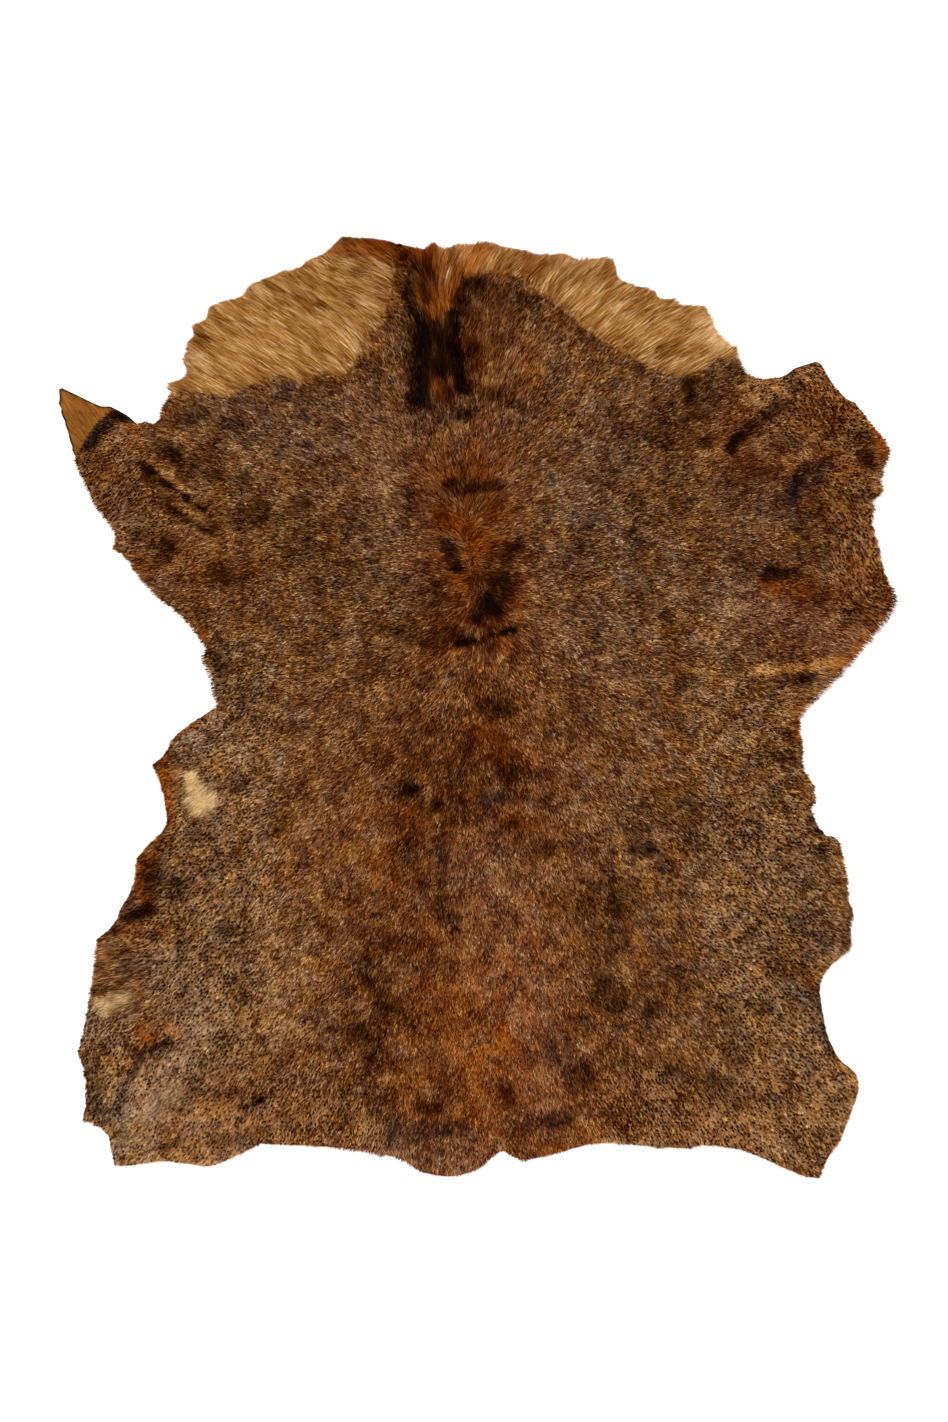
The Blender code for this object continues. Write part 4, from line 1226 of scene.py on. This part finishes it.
def leatherPlan():
    # the triangles of the solid's upper side, each cut in four
    mesh = solid.data
    places = {}
    triangles = []
    for face in mesh.polygons:
        if face.normal.z > 0.5:
            corners = [tuple(round(c, 6) for c in mesh.vertices[v].co[:2]) for v in face.vertices]
            ids = [places.setdefault(c, len(places)) for c in corners]
            triangles += [(ids[0], ids[k], ids[k + 1]) for k in range(1, len(ids) - 1)]
    points = [Vector(p) for p in places]
    halves = {}

    def half(a, b):
        key = (min(a, b), max(a, b))
        if key not in halves:
            halves[key] = len(points)
            points.append((points[a] + points[b]) / 2)
        return halves[key]

    finer = []
    for a, b, c in triangles:
        ab, bc, ca = half(a, b), half(b, c), half(c, a)
        finer += [(a, ab, ca), (ab, b, bc), (ca, bc, c), (ab, bc, ca)]
    return np.array([tuple(p) for p in points]), np.array(finer)


def buildLeather():
    plan, triangles = leatherPlan()
    count = len(plan)
    x, y = setBack(plan[:, 0], plan[:, 1])
    sides = {}
    for a, b, c in triangles:
        for one, other in ((a, b), (b, c), (c, a)):
            sides[(one, other)] = True
    edge = [(a, b) for a, b in sides if (b, a) not in sides]
    under, top = sampled(underGrid, x, y), sampled(leatherGrid, x, y)
    rimIds = sorted({a for a, _ in edge})
    order = {v: i for i, v in enumerate(rimIds)}
    following = dict(edge)
    before = {b: a for a, b in edge}
    outX = np.array([y[following[v]] - y[before[v]] for v in rimIds])
    outY = np.array([x[before[v]] - x[following[v]] for v in rimIds])
    size = np.hypot(outX, outY)
    bulge = 0.0004
    middle = np.column_stack((
        x[rimIds] + bulge * outX / size, y[rimIds] + bulge * outY / size, (under[rimIds] + top[rimIds]) / 2
    ))
    places = np.vstack((np.column_stack((x, y, top)), np.column_stack((x, y, under)), middle))
    faces = [triangles, triangles[:, ::-1] + count]
    wall = []
    for a, b in edge:
        midA, midB = 2 * count + order[a], 2 * count + order[b]
        wall += [(b, a, midA), (b, midA, midB), (midB, midA, a + count), (midB, a + count, b + count)]
    faces = np.vstack(faces + [np.array(wall)])
    piece = meshFrom("leather", places, faces)
    flat = np.column_stack((places[:, 0] - cadLow.x, places[:, 1] - cadLow.y)) / (cadHigh.y - cadLow.y + 0.02)
    flat = flat * np.array((0.5, 1.0)) + np.array((0.01, 0.01))
    flat[count:2 * count, 0] += 0.5
    flat[2 * count:, 0] += 0.5
    addMap(piece, flat, faces)
    side = np.zeros(len(places))
    side[count:2 * count] = 1.0
    bare = 1.0 - smooth((sampled(coatGrid, places[:, 0], places[:, 1]) - 0.0003) / 0.0008)
    tanned = tanPatches(places[:, 0], places[:, 1], 0.0)
    addVectors(piece, "side", side, bare, tanned)
    addVectors(piece, "spot", places[:, 0], places[:, 1], 0.0 * side)
    lean, wide, narrow = math.radians(-52), 70.0, 420.0
    along = places[:, 0] * math.cos(lean) + places[:, 1] * math.sin(lean)
    aside = places[:, 1] * math.cos(lean) - places[:, 0] * math.sin(lean)
    nearRim = np.exp(-(np.maximum(sampled(rimGrid, places[:, 0], places[:, 1]), 0.0) / 0.0016) ** 2)
    addVectors(piece, "streak", along * wide, aside * narrow, nearRim)
    piece.data.materials.append(skinFinish())
    print(f"leather: {len(faces)} triangles")
    return piece


leather = buildLeather()
hairs = []
for layerName in ("underfur", "coat_low", "coat_high", "guard_hair", "long_hair", "dark_tips_and_shade"):
    layerPiece = growHair(layerName)
    layerPiece.data.materials.append(hairFinish(layerName, coat[layerName]["tone"]))
    hairs.append(layerPiece)
for piece in [leather] + hairs:
    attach(piece, "root")
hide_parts("sheepskin")


# Floor, light and camera

studio = {
    "floor": 0.97,
    "glow": 0.4,
    "sky": 0.82,
    "sunPower": 1.9,
    "sunSpread": 50.0,
    "sunFrom": (-0.25, 1.0, 1.1),
    "cameraHeight": 3.95,
    "lens": 100.0,
    "frameMiddle": (474, 711),
}


def buildStudio():
    floorMaterial = Finish("paper", 0.9)
    floorMaterial.shader.inputs["Base Color"].default_value = (studio["floor"],) * 3 + (1.0,)
    floorMaterial.shader.inputs["Emission Color"].default_value = (1.0, 1.0, 1.0, 1.0)
    floorMaterial.shader.inputs["Emission Strength"].default_value = studio["glow"]
    bpy.ops.mesh.primitive_plane_add(size=12.0, location=(0, 0, -0.0006))
    floor = bpy.context.object
    floor.name = "floor"
    floor.data.materials.append(floorMaterial.material)

    world = bpy.data.worlds.new("studio")
    world.use_nodes = True
    world.node_tree.nodes["Background"].inputs["Color"].default_value = (1.0, 1.0, 1.0, 1.0)
    world.node_tree.nodes["Background"].inputs["Strength"].default_value = studio["sky"]
    bpy.context.scene.world = world

    sun = bpy.data.lights.new("key", "SUN")
    sun.energy, sun.angle = studio["sunPower"], math.radians(studio["sunSpread"])
    lamp = bpy.data.objects.new("key", sun)
    lamp.rotation_euler = (-Vector(studio["sunFrom"])).to_track_quat("-Z", "Y").to_euler()
    lamp.location = studio["sunFrom"]
    bpy.context.scene.collection.objects.link(lamp)

    camera = bpy.data.objects.new("camera", bpy.data.cameras.new("camera"))
    camera.data.lens = studio["lens"]
    middleX, middleY = onBoard(*studio["frameMiddle"])
    camera.location = (middleX, middleY, studio["cameraHeight"])
    bpy.context.scene.collection.objects.link(camera)
    bpy.context.scene.camera = camera
    bpy.context.scene.view_settings.view_transform = "Standard"


buildStudio()
print("done")
